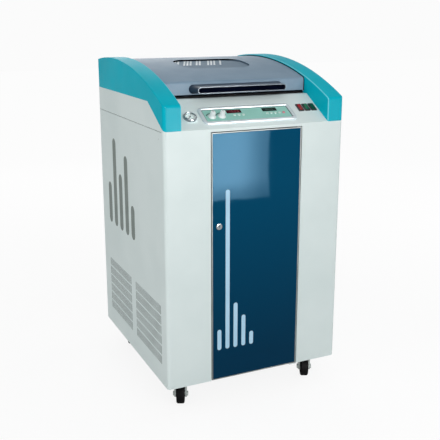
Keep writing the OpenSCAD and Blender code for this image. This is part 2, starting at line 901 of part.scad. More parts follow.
module vacuum_hoses() color(BLACK) {
  // Chamber to trap
  drop_y = trap_y + stub_y;
  drop_z = port_z - (port_end - drop_y);
  translate([trap_x, drop_y, trap_port_z]) cylinder(r = hose_r, h = drop_z - trap_port_z);
  translate([trap_x, drop_y, drop_z]) rotate([0, 0, 90]) bend(port_end - drop_y);
  // Trap to pump
  rise = 30;
  span = trap_x - pump_x - 2 * bend_r;
  top = trap_port_z + rise;
  translate([trap_x, pump_y, trap_port_z]) cylinder(r = hose_r, h = rise);
  translate([trap_x, pump_y, top]) rotate([0, 0, 180]) bend(bend_r);
  translate([pump_x + bend_r, pump_y, top + bend_r]) rotate([0, 90, 0]) cylinder(r = hose_r, h = span);
  translate([pump_x, pump_y, top]) bend(bend_r);
  translate([pump_x, pump_y, pump_port_z]) cylinder(r = hose_r, h = top - pump_port_z);
}

module power_inlet() color(BLACK) translate([inlet_x, rear, inlet_z]) {
  difference() {
    union() {
      along_y(0, inlet_flange_t) square(inlet_flange, center = true);
      along_y(-inlet_deep, inlet_deep) square([inlet_w - 2 * fit, inlet_h - 2 * fit], center = true);
    }
    along_y(-inlet_deep + inlet_wall, inlet_deep + inlet_flange_t)
      square([inlet_w - 2 * inlet_wall, inlet_h - 2 * inlet_wall], center = true);
  }
  for (p = inlet_pins)
    translate([p[0] - inlet_pin[0] / 2, -inlet_deep + inlet_wall, p[1] - inlet_pin[2] / 2]) cube(inlet_pin);
}

// Control deck

module control_bezel() color("whitesmoke") on_deck(bezel_x, bezel_v) difference() {
  hull($fn = 32) {
    linear_extrude(bezel_h / 3) rounded_rect(bezel_w, bezel_d, bezel_corner);
    linear_extrude(bezel_h) rounded_rect(
      bezel_w - 2 * bezel_slant, bezel_d - 2 * bezel_slant, bezel_corner - bezel_slant);
  }
  translate([0, 0, -eps]) linear_extrude(bezel_h + 2 * eps) rounded_rect(panel_w, panel_d, panel_corner);
}

module control_panel() color(GREEN) difference() {
  on_deck(bezel_x, bezel_v) linear_extrude(panel_t)
    rounded_rect(panel_w - 2 * fit, panel_d - 2 * fit, panel_corner - fit);
  for (x = display_x) on_deck(x, display_v) translate([0, 0, panel_t - pocket_d])
    linear_extrude(pocket_d + eps) square([display_w + 2 * fit, display_h + 2 * fit], center = true);
  on_deck(lamp_lens_x, key_v) translate([0, 0, panel_t - pocket_d])
    cylinder(r = lamp_lens_r + fit, h = pocket_d + eps);
  for (x = key_x) on_deck(x, key_v) translate([0, 0, -eps])
    cylinder(r = key_r + fit, h = panel_t + 2 * eps);
  for (x = knob_x) on_deck(x, knob_v) translate([0, 0, -eps])
    cylinder(r = stem_r + run, h = panel_t + 2 * eps);
}

module display_windows() color("darkred") {
  for (x = display_x) on_deck(x, display_v) translate([0, 0, panel_t - pocket_d])
    linear_extrude(pocket_d + display_up) square([display_w, display_h], center = true);
  on_deck(lamp_lens_x, key_v) translate([0, 0, panel_t - pocket_d]) rotate_extrude() intersection() {
    square([lamp_lens_r, pocket_d + lamp_lens_up]);
    translate([0, pocket_d + lamp_lens_up - 2 * lamp_lens_r]) circle(2 * lamp_lens_r);
  }
}

// Board under the panel with a post at each corner, a pot below each knob and a switch below each key.
module control_board() color("seagreen") {
  on_deck(bezel_x, bezel_v) {
    translate([0, 0, board_z]) linear_extrude(board_t) square([board_w, board_d], center = true);
    for (x = [-1, 1], v = [-1, 1])
      translate([x * (board_w / 2 - board_post_r), v * (board_d / 2 - board_post_r), board_z])
        cylinder(r = board_post_r, h = -board_z);
  }
  for (x = knob_x) on_deck(x, knob_v) translate([0, 0, board_z])
    linear_extrude(-board_z - stem_low - fit) square(pot_w, center = true);
  for (x = key_x) on_deck(x, key_v) translate([0, 0, board_z])
    linear_extrude(-board_z - key_stem - key_travel - fit) square(key_switch_w, center = true);
}

module key(i) color("white") on_deck(key_x[i], key_v) {
  shoulder = panel_t + key_up - key_edge;
  translate([0, 0, -key_stem]) cylinder(r = key_r, h = key_stem + shoulder);
  translate([0, 0, shoulder]) cylinder(r1 = key_r, r2 = key_r - key_edge, h = key_edge);
  translate([0, 0, -fit - key_collar_t]) cylinder(r = key_r + key_collar_w, h = key_collar_t);
}

// Skirted knob with a tapered grip and a pointer notch.
module knob(i) color("white") on_deck(knob_x[i], knob_v) difference() {
  low = panel_t + fit;
  grip_low = low + skirt_h + skirt_edge;
  union() {
    translate([0, 0, -stem_low]) cylinder(r = stem_r, h = stem_low + low + skirt_h);
    translate([0, 0, low]) cylinder(r = knob_r, h = skirt_h);
    translate([0, 0, low + skirt_h]) cylinder(r1 = knob_r, r2 = grip_r, h = skirt_edge);
    translate([0, 0, grip_low]) cylinder(r1 = grip_r, r2 = grip_top_r, h = low + knob_h - grip_low);
  }
  translate([-notch[0] / 2, knob_r - notch[1], low + knob_h - notch[2]]) cube(notch + [0, 0, eps]);
}

module gauge_case() color("silver") on_deck(-gauge_x, gauge_v) {
  inner = gauge_r - gauge_wall;
  rotate_extrude() polygon([
    [0, -gauge_deep], [inner, -gauge_deep], [inner, 0], [gauge_r, 0], [gauge_r, gauge_rim_h - gauge_edge],
    [gauge_r - gauge_edge, gauge_rim_h], [inner, gauge_rim_h], [inner, gauge_floor], [0, gauge_floor]
  ]);
  cylinder(r = needle_axle_r, h = needle_axle_h);
}

module gauge_lens() color([0.8, 0.9, 0.95, 0.4]) on_deck(-gauge_x, gauge_v)
  translate([0, 0, lens_low]) cylinder(r = gauge_r - gauge_wall - run, h = lens_t);

module gauge_needle() color(BLACK) on_deck(-gauge_x, gauge_v) rotate([0, 0, needle_rest])
  translate([0, 0, gauge_floor + fit]) difference() {
    union() {
      cylinder(r = needle_hub_r, h = needle_hub_h);
      translate([-needle_tail, -needle_w / 2, needle_t])
        cube([needle_len + needle_tail, needle_w, needle_t]);
    }
    translate([0, 0, -eps]) cylinder(r = needle_axle_r + run, h = needle_hub_h + 2 * eps);
  }

module switch_frames() color(BLACK)
  for (k = [-1:1]) on_deck(switch_x + k * switch_pitch, switch_v) switch_frame();

module switch_frame() difference() {
  body_w = switch_w - 2 * switch_flange;
  body_l = switch_l - 2 * switch_flange;
  union() {
    linear_extrude(switch_rim_h) rounded_rect(switch_w, switch_l, switch_corner);
    translate([0, 0, -switch_deep]) linear_extrude(switch_deep) square([body_w, body_l], center = true);
  }
  translate([0, 0, -switch_deep + switch_wall]) linear_extrude(switch_deep + switch_rim_h)
    square([body_w - 2 * switch_wall, body_l - 2 * switch_wall], center = true);
  translate([-body_w / 2 - eps, 0, rocker_axis]) rotate([0, 90, 0])
    cylinder(r = rocker_pin_r + run, h = body_w + 2 * eps);
}

// Rocker resting with its lower end pressed in.
module rocker(k) on_deck(switch_x + k * switch_pitch, switch_v) translate([0, 0, rocker_axis])
  rotate([rocker_tilt, 0, 0]) {
    body_w = switch_w - 2 * switch_flange - 2 * switch_wall - 2 * fit;
    half = switch_l / 2 - switch_flange - switch_wall - rocker_room;
    along_x(-body_w / 2, body_w) polygon([
      [-half, rocker_shoulder], [0, -rocker_keel], [half, rocker_shoulder],
      [half, rocker_end], [0, rocker_dip], [-half, rocker_end]
    ]);
    translate([-body_w / 2 - rocker_pin_l, 0, 0]) rotate([0, 90, 0])
      cylinder(r = rocker_pin_r, h = body_w + 2 * rocker_pin_l);
  }

// Lid

module lid_profile(inset) crest_profile(
  inset, lid_front + inset, lid_rear - inset, inset > 0 ? top_z : lid_z, lid_drop, lid_edge_r - inset);

module window_outline(lap) translate([0, window_y]) rounded_rect(
  window_w + 2 * lap, window_d + 2 * lap, window_corner + lap);

module lid_shell() color(SLATE) difference() {
  union() {
    difference() {
      along_x(-lid_w / 2, lid_w) lid_profile(0);
      along_x(-lid_w / 2 + lid_wall, lid_w - 2 * lid_wall) lid_profile(lid_wall);
    }
    // Posts that carry the seal plate
    intersection() {
      for (x = [-1, 1], y = [-1, 1]) translate([x * post_x, chamber_y + y * post_y, plate_z + plate_t])
        cylinder(r = post_r, h = crest_z - plate_z);
      along_x(-lid_w / 2 + eps, lid_w - 2 * eps) lid_profile(lid_wall / 2);
    }
  }
  translate([0, 0, lid_z]) linear_extrude(crest_z - lid_z) window_outline(0);
}

module lid_window() color([0.3, 0.38, 0.45, 0.5]) intersection() {
  outer = lid_r - lid_wall - fit;
  along_x(-lid_w / 2, lid_w) translate([crest_y, crest_cz]) difference() {
    circle(outer, $fn = arc_fn);
    circle(outer - pane_t, $fn = arc_fn);
  }
  translate([0, 0, lid_z]) linear_extrude(crest_z - lid_z) window_outline(pane_lap);
}

module seal_plate() color([0.85, 0.92, 0.95, 0.4]) translate([0, chamber_y, plate_z])
  cylinder(r = plate_r, h = plate_t);

module lid_handle() color(BLACK) difference() {
  hull($fn = 32) {
    translate([0, 0, handle_z]) along_y(lid_front - handle_root_t, handle_root_t)
      stadium(handle_len + 2 * handle_flare, handle_root_h);
    translate([0, 0, handle_z]) along_y(lid_front - handle_reach, handle_face_t)
      stadium(handle_len, handle_h);
  }
  translate([0, 0, handle_z]) along_y(lid_front - handle_reach - eps, handle_recess + eps)
    stadium(handle_len - 2 * rim_w, handle_h - 2 * rim_w);
}

module handle_trim() color("silver") translate([0, 0, handle_z])
  along_y(lid_front - handle_reach - trim_t, trim_t) difference() {
    stadium(handle_len, handle_h);
    stadium(handle_len - 2 * rim_w, handle_h - 2 * rim_w);
  }

// Hinges: a fixed knuckle on each side of a moving one.
module lid_hinge_brackets() color(STEEL) for (s = [-1, 1]) translate([s * hinge_x, 0, 0]) {
  reach = 1.5 * knuckle_w + 2 * fit;
  for (k = [-1, 1]) along_x(k > 0 ? reach - knuckle_w : -reach, knuckle_w) {
    translate([hinge_y, hinge_z]) circle(knuckle_r);
    translate([hinge_y - knuckle_foot / 2, top_z]) square([knuckle_foot, hinge_z - top_z]);
  }
  translate([-reach, hinge_y, hinge_z]) rotate([0, 90, 0]) cylinder(r = hinge_pin_r, h = 2 * reach);
}

module lid_hinge_leaves() color(STEEL) for (s = [-1, 1]) translate([s * hinge_x, 0, 0]) {
  wide = knuckle_w - 2 * fit;
  along_x(-wide / 2, wide) difference() {
    union() {
      translate([hinge_y, hinge_z]) circle(knuckle_r);
      translate([lid_rear, hinge_z]) square([hinge_y - lid_rear, knuckle_r]);
    }
    translate([hinge_y, hinge_z]) circle(hinge_pin_r + run);
  }
  along_x(-1.5 * knuckle_w, 3 * knuckle_w) translate([lid_rear, hinge_z + knuckle_r - leaf_t])
    square([leaf_t, leaf_h]);
}

// Door

module door_frame() color("gainsboro") {
  high = door_high - door_low;
  difference() {
    translate([-door_w / 2, front, door_low]) cube([door_w, door_d, high]);
    translate([-door_w / 2 + door_rim, front - eps, door_low + door_rim])
      cube([door_w - 2 * door_rim, glass_t + eps, high - 2 * door_rim]);
    translate([-door_w / 2 + door_rim, front + glass_t + skin_t, door_low + door_rim])
      cube([door_w - 2 * door_rim, door_d, high - 2 * door_rim]);
    translate([lock_x, front, lock_z]) rotate([-90, 0, 0]) cylinder(r = lock_r + run, h = door_d);
  }
  pin_low = under - pivot_plate_t - pin_spare;
  translate([pivot_x, pivot_y, pin_low]) cylinder(r = pivot_r, h = door_low - pin_low);
  translate([pivot_x, pivot_y, door_high]) cylinder(r = pivot_r, h = door_gap + pivot_plate_t + pin_spare);
}

module door_glass() color(NAVY) difference() {
  translate([-door_w / 2 + door_rim + fit / 2, front, door_low + door_rim + fit / 2])
    cube([door_w - 2 * door_rim - fit, glass_t, door_high - door_low - 2 * door_rim - fit]);
  translate([lock_x, front - eps, lock_z]) rotate([-90, 0, 0])
    cylinder(r = lock_r + fit, h = glass_t + 2 * eps);
}

// Lock barrel with its head in front of the glass and its cam behind the door, resting unlocked.
module door_lock() color("silver") translate([lock_x, front, lock_z]) rotate([-90, 0, 0]) difference() {
  union() {
    translate([0, 0, -lock_proud]) cylinder(r1 = lock_r, r2 = lock_r + lock_edge, h = lock_edge);
    translate([0, 0, -lock_proud + lock_edge])
      cylinder(r = lock_r + lock_edge, h = lock_proud - lock_edge - fit);
    translate([0, 0, -fit]) cylinder(r = lock_r, h = door_d + cam_t + 3 * fit);
    translate([-cam_w / 2, -cam_len, door_d + 2 * fit]) cube([cam_w, cam_len, cam_t]);
  }
  translate([-keyway[0] / 2, -keyway[1] / 2, -lock_proud - eps]) cube(keyway + [0, 0, eps]);
}

// Casters

module at_caster(i) translate([
  corners[i][0] * (side - caster_in), corners[i][1] * (cab_d / 2 - caster_end), 0]) children();

module at_fork(i) at_caster(i) rotate([0, 0, caster_turn]) children();

module caster_plates() color(STEEL) for (i = [0:3]) at_caster(i) {
  translate([0, 0, under - plate_h]) linear_extrude(plate_h)
    rounded_rect(plate_size[0], plate_size[1], plate_corner);
  translate([0, 0, king_low]) cylinder(r = king_r, h = under - king_low);
  translate([0, 0, king_low]) cylinder(r = king_r + king_head_w, h = king_head_t);
}

// Fork with its raceway cup on top and the axle bolt through its legs.
module caster_fork(i) color(STEEL) at_fork(i) {
  inside = wheel_w / 2 + fork_gap;
  difference() {
    union() {
      translate([0, 0, fork_top]) cylinder(r = fork_top_r, h = fork_t);
      translate([0, -trail / 2, fork_top]) linear_extrude(fork_t)
        square([2 * (inside + fork_plate), fork_bridge], center = true);
      translate([0, 0, fork_top + fork_t])
        tube(race_r, race_in, under - plate_h - fork_top - fork_t - fit);
    }
    translate([0, 0, fork_top - eps]) cylinder(r = king_r + run, h = fork_t + 2 * eps);
  }
  for (s = [-1, 1]) along_x(s > 0 ? inside : -inside - fork_plate, fork_plate) {
    polygon([
      [-(trail + fork_bridge) / 2, fork_top + fork_t], [(fork_bridge - trail) / 2, fork_top + fork_t],
      [leg_r - trail, wheel_r], [-leg_r - trail, wheel_r]
    ]);
    translate([-trail, wheel_r]) circle(leg_r);
  }
  translate([-inside - fork_plate, -trail, wheel_r]) rotate([0, 90, 0])
    cylinder(r = axle_r, h = 2 * (inside + fork_plate));
  for (x = [inside + fork_plate, -inside - fork_plate - bolt_head_t]) translate([x, -trail, wheel_r])
    rotate([0, 90, 0]) cylinder(r = axle_r + bolt_head_w, h = bolt_head_t, $fn = 6);
}

module caster_wheel(i) color(BLACK) at_fork(i) translate([0, -trail, wheel_r]) rotate([0, 90, 0])
  rotate_extrude() difference() {
    translate([axle_r + run, -wheel_w / 2]) square([wheel_r - axle_r - run, wheel_w]);
    for (s = [0, 1]) mirror([0, s]) {
      translate([wheel_r, -wheel_w / 2]) mirror([1, 0]) corner_waste(tread_r);
      translate([axle_r + wheel_hub_w, -wheel_w / 2 - eps])
        square([wheel_r - wheel_rim_w - axle_r - wheel_hub_w, wheel_dish + eps]);
    }
  }

base_pan();
front_fascia();
left_side_panel();
right_side_panel();
rear_panel();
top_housing();
left_end_cap();
right_end_cap();
chamber_bowl();
lid_seals();
drive_motor();
infrared_lamps();
cold_trap();
vacuum_pump();
condensing_unit();
vacuum_hoses();
control_board();
power_inlet();
control_bezel();
control_panel();
display_windows();
gauge_case();
gauge_lens();
switch_frames();
lid_hinge_brackets();
caster_plates();
lid_shell();
lid_window();
seal_plate();
lid_handle();
handle_trim();
lid_hinge_leaves();
door_frame();
door_glass();
door_lock();
rotor();
rotor_knob();
drive_shaft();
fan_blades();
gauge_needle();
knob(0);  // speed_knob
knob(1);  // timer_knob
color("red") rocker(-1);  // power_rocker
color("green") rocker(0);  // pump_rocker
color("darkgreen") rocker(1);  // lamp_rocker
caster_fork(0);  // caster_fork_fl
caster_fork(1);  // caster_fork_fr
caster_fork(2);  // caster_fork_rl
caster_fork(3);  // caster_fork_rr
caster_wheel(0);  // caster_wheel_fl
caster_wheel(1);  // caster_wheel_fr
caster_wheel(2);  // caster_wheel_rl
caster_wheel(3);  // caster_wheel_rr
key(0);  // key_1
key(1);  // key_2
key(2);  // key_3
key(3);  // key_4
key(4);  // key_5
key(5);  // key_6
key(6);  // key_7
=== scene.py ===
import json
import math

import bmesh
import bpy
from mathutils import Matrix, Vector
from mathutils.bvhtree import BVHTree


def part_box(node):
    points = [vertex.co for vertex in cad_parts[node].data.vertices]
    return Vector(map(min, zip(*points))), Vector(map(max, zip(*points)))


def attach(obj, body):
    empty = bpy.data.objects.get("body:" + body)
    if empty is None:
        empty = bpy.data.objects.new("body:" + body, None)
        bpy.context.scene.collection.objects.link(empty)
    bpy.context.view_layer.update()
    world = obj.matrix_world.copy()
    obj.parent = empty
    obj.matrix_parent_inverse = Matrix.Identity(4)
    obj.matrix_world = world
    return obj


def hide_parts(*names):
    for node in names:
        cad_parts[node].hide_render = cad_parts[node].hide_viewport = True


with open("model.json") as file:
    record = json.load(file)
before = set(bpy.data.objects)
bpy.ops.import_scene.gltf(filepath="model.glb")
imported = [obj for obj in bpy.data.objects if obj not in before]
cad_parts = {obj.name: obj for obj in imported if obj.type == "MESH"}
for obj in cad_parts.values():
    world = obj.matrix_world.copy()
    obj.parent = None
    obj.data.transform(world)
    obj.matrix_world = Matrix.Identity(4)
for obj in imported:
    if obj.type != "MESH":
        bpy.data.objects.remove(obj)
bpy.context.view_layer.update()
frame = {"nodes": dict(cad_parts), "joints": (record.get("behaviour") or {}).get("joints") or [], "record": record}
nodes = frame["nodes"]
record = frame["record"]
joints = {joint["name"]: joint for joint in frame["joints"]}
bodyOf = {node: body for body, members in record["behaviour"]["bodies"].items() for node in members}
mm = 0.001


# Objects and node trees

def addObject(name, data):
    thing = bpy.data.objects.new(name, data)
    bpy.context.scene.collection.objects.link(thing)
    return thing


def feed(tree, node, given):  # another node's output is linked, a plain value is set
    for socket, value in given.items():
        if isinstance(value, bpy.types.NodeSocket):
            tree.links.new(value, node.inputs[socket])
        else:
            node.inputs[socket].default_value = value


def addNode(tree, kind, given=None, **settings):
    node = tree.nodes.new(kind)
    for label, value in settings.items():
        setattr(node, label, value)
    feed(tree, node, given or {})
    return node


def addMath(tree, operation, *values):
    return addNode(tree, "ShaderNodeMath", dict(enumerate(values)), operation=operation).outputs[0]


def addRange(tree, value, given, wanted, ease="LINEAR"):  # the given ends become the wanted ends
    ends = dict(zip(("From Min", "From Max", "To Min", "To Max"), (*given, *wanted)))
    span = addNode(tree, "ShaderNodeMapRange", {"Value": value, **ends}, interpolation_type=ease)
    return span.outputs["Result"]


def placeOn(tree):  # the shaded spot in the object's own frame
    return addNode(tree, "ShaderNodeTexCoord").outputs["Object"]


def newMaterial(name):
    material = bpy.data.materials.new(name)
    material.use_nodes = True
    return material, material.node_tree, material.node_tree.nodes["Principled BSDF"]


# Camera, light and floor

cameraLook = {
    "sensor": 36,  # millimetres wide
    "lens": 60.74,  # millimetres
    "place": (-0.9558, -2.1186, 1.1196),
    "turn": -24.785,  # degrees round the upright
    "tilt": 14.343,  # degrees below level
    "shift": -0.0318,
}
studioLook = {
    "ambient": 0.40,
    "backdrop": 0.965,  # strength of the world where it shows as backdrop
    "middle": (0.0, 0.0, 0.6),
    # name, place, size, watts
    "lamps": [
        ("keyLamp", (0.35, -2.05, 1.35), 1.2, 8.0),
        ("highLamp", (-0.5, -1.7, 1.75), 1.0, 5.6),
        ("lowLamp", (-0.5, -2.2, 0.9), 1.2, 6.4),
        ("leftLamp", (-3.0, -0.6, 1.5), 1.8, 21.0),
        ("rightLamp", (3.0, 0.5, 1.5), 1.8, 22.0),
        ("rearLamp", (0.6, 3.0, 1.9), 1.8, 22.0),
    ],
}
# Soft box that only shows in gloss, as on the door
softBoxLook = {
    "place": (0.30, -1.50, 0.74), "width": 0.80, "height": 0.90, "watts": 120.0,
    # shares of the width and of the height, and the strengths there
    "fades": [((0.77, 1.0), (1.05, 0.42)), ((0.0, 0.12), (0.45, 1.0))],
}
floorLook = {
    "tone": 0.62,  # grey of the floor for the light that it throws back
    "rough": 0.9,
    "glow": (0.86, 0.955),  # share of plain white, near the object and far from it
    "fade": (0.8, 3.2),  # metres over which the floor goes over into the backdrop
    "reach": 14.0,
}


def makeCamera(look):
    data = bpy.data.cameras.new("photoCamera")
    data.sensor_width = look["sensor"]
    data.lens = look["lens"]
    data.shift_y = look["shift"]
    camera = addObject("photoCamera", data)
    camera.location = look["place"]
    camera.rotation_euler = (math.radians(90 - look["tilt"]), 0, math.radians(look["turn"]))
    bpy.context.scene.camera = camera


def addLamp(name, place, aim, width, height, watts):
    data = bpy.data.lights.new(name, "AREA")
    data.shape = "RECTANGLE"
    data.size = width
    data.size_y = height
    data.energy = watts
    lamp = addObject(name, data)
    lamp.location = place
    lamp.rotation_mode = "QUATERNION"
    lamp.rotation_quaternion = (Vector(aim) - Vector(place)).to_track_quat("-Z", "Y")
    return lamp


def seenDirectly(tree):  # 1 for rays that show the backdrop, 0 for rays that light the object
    path = addNode(tree, "ShaderNodeLightPath")
    total = path.outputs["Is Camera Ray"]
    for ray in ("Is Glossy Ray", "Is Transmission Ray"):
        total = addMath(tree, "MAXIMUM", total, path.outputs[ray])
    return total


def makeStudio(look):
    world = bpy.data.worlds.new("studio")
    world.use_nodes = True
    bpy.context.scene.world = world
    tree = world.node_tree
    strength = addRange(tree, seenDirectly(tree), (0, 1), (look["ambient"], look["backdrop"]))
    feed(tree, tree.nodes["Background"], {"Color": (1, 1, 1, 1), "Strength": strength})
    for name, place, size, watts in look["lamps"]:
        addLamp(name, place, look["middle"], size, size, watts)


def makeSoftBox(look):
    straightBack = Vector(look["place"]) + Vector((0, 1, 0))
    softBox = addLamp("softBox", look["place"], straightBack, look["width"], look["height"], look["watts"])
    softBox.visible_diffuse = False
    softBox.data.use_nodes = True
    tree = softBox.data.node_tree
    spot = addNode(tree, "ShaderNodeNewGeometry").outputs["Parametric"]
    split = addNode(tree, "ShaderNodeSeparateXYZ", {0: spot}).outputs
    shares = [addRange(tree, split[axis], *fade, "SMOOTHSTEP") for axis, fade in enumerate(look["fades"])]
    feed(tree, tree.nodes["Emission"], {"Strength": addMath(tree, "MULTIPLY", *shares)})


def makeFloor(look):
    mesh = bpy.data.meshes.new("floor")
    corners = [(x * look["reach"], y * look["reach"], 0) for x, y in ((-1, -1), (1, -1), (1, 1), (-1, 1))]
    mesh.from_pydata(corners, [], [(0, 1, 2, 3)])
    floor = addObject("floor", mesh)
    paper, tree, shader = newMaterial("paperFloor")
    shown = seenDirectly(tree)
    tone = addRange(tree, shown, (0, 1), (look["tone"], 1))
    feed(tree, shader, {"Base Color": tone, "Roughness": look["rough"], "Specular IOR Level": 0.0})
    away = addNode(tree, "ShaderNodeVectorMath", {0: placeOn(tree)}, operation="LENGTH").outputs["Value"]
    share = addMath(tree, "MULTIPLY", shown, addRange(tree, away, look["fade"], look["glow"]))
    glow = addNode(tree, "ShaderNodeEmission").outputs[0]
    blend = addNode(tree, "ShaderNodeMixShader", {0: share, 1: shader.outputs[0], 2: glow})
    feed(tree, tree.nodes["Material Output"], {"Surface": blend.outputs[0]})
    mesh.materials.append(paper)


makeCamera(cameraLook)
makeStudio(studioLook)
makeSoftBox(softBoxLook)
makeFloor(floorLook)
bpy.context.scene.view_settings.view_transform = "Standard"
print("camera and studio ready")


# Finishes

toneEnds = (0.34, 0.66)  # where a pattern reaches its low and its high tone
smudgeEnds = (0.3, 0.7)  # where a pattern reaches the lowest and the highest roughness
smudgeScale = 2.7  # the roughness pattern against the colour pattern
noiseDetail = {"patch": 3, "smudge": 4, "grain": 2, "glow": 2}
glowRough = 0.4
socketOf = {"tint": "Specular Tint", "metal": "Metallic", "clear": "Transmission Weight", "bend": "IOR"}


def screen(tone):  # a colour as a screen shows it, to linear light
    def linear(share):
        return share / 12.92 if share <= 0.04045 else ((share + 0.055) / 1.055) ** 2.4
    return (*(linear(value / 255) for value in tone), 1.0)


def addNoise(tree, scale, detail, stretch=(1, 1, 1)):
    mapping = addNode(tree, "ShaderNodeMapping", {"Vector": placeOn(tree), "Scale": stretch})
    return addNode(tree, "ShaderNodeTexNoise", {
        "Vector": mapping.outputs["Vector"], "Scale": scale, "Detail": detail}).outputs["Fac"]


def addTones(tree, factor, tones):  # tones from the pattern's low to its high
    ramp = addNode(tree, "ShaderNodeValToRGB", {"Fac": factor})
    for index, element in enumerate(ramp.color_ramp.elements):
        element.position = toneEnds[index]
        element.color = screen(tones[index])
    return ramp.outputs["Color"]


def addRise(tree, heights):  # from the pattern's low to its high between two heights
    height = addNode(tree, "ShaderNodeSeparateXYZ", {0: placeOn(tree)}).outputs[2]
    return addRange(tree, height, heights, toneEnds)


def addEdge(tree, colour, tone):  # painted highlight: a paler tone on the faces that dress marks
    mark = addNode(tree, "ShaderNodeAttribute", attribute_name="edge").outputs["Fac"]
    return addNode(tree, "ShaderNodeMix", {0: mark, 6: colour, 7: screen(tone)}, data_type="RGBA").outputs[2]


def makeFinish(name, low, high, patch, rough, grain, gloss, more={}):
    finish, tree, shader = newMaterial(name)
    stretch = more.get("stretch", (1, 1, 1))
    if "rise" in more:
        pattern = addRise(tree, more["rise"])
    else:
        pattern = addNoise(tree, patch, noiseDetail["patch"], stretch)
    colour = addTones(tree, pattern, (low, high))
    if "edge" in more:
        colour = addEdge(tree, colour, more["edge"])
    smudge = addNoise(tree, patch * smudgeScale, noiseDetail["smudge"], stretch)
    scale, strength, depth = grain
    bump = addNode(tree, "ShaderNodeBump", {
        "Strength": strength, "Distance": depth * mm,
        "Height": addNoise(tree, scale, noiseDetail["grain"], stretch)})
    feed(tree, shader, {
        "Base Color": colour, "Roughness": addRange(tree, smudge, smudgeEnds, rough),
        "Specular IOR Level": gloss, "Normal": bump.outputs["Normal"],
        **{socketOf[label]: value for label, value in more.items() if label in socketOf}})
    return finish
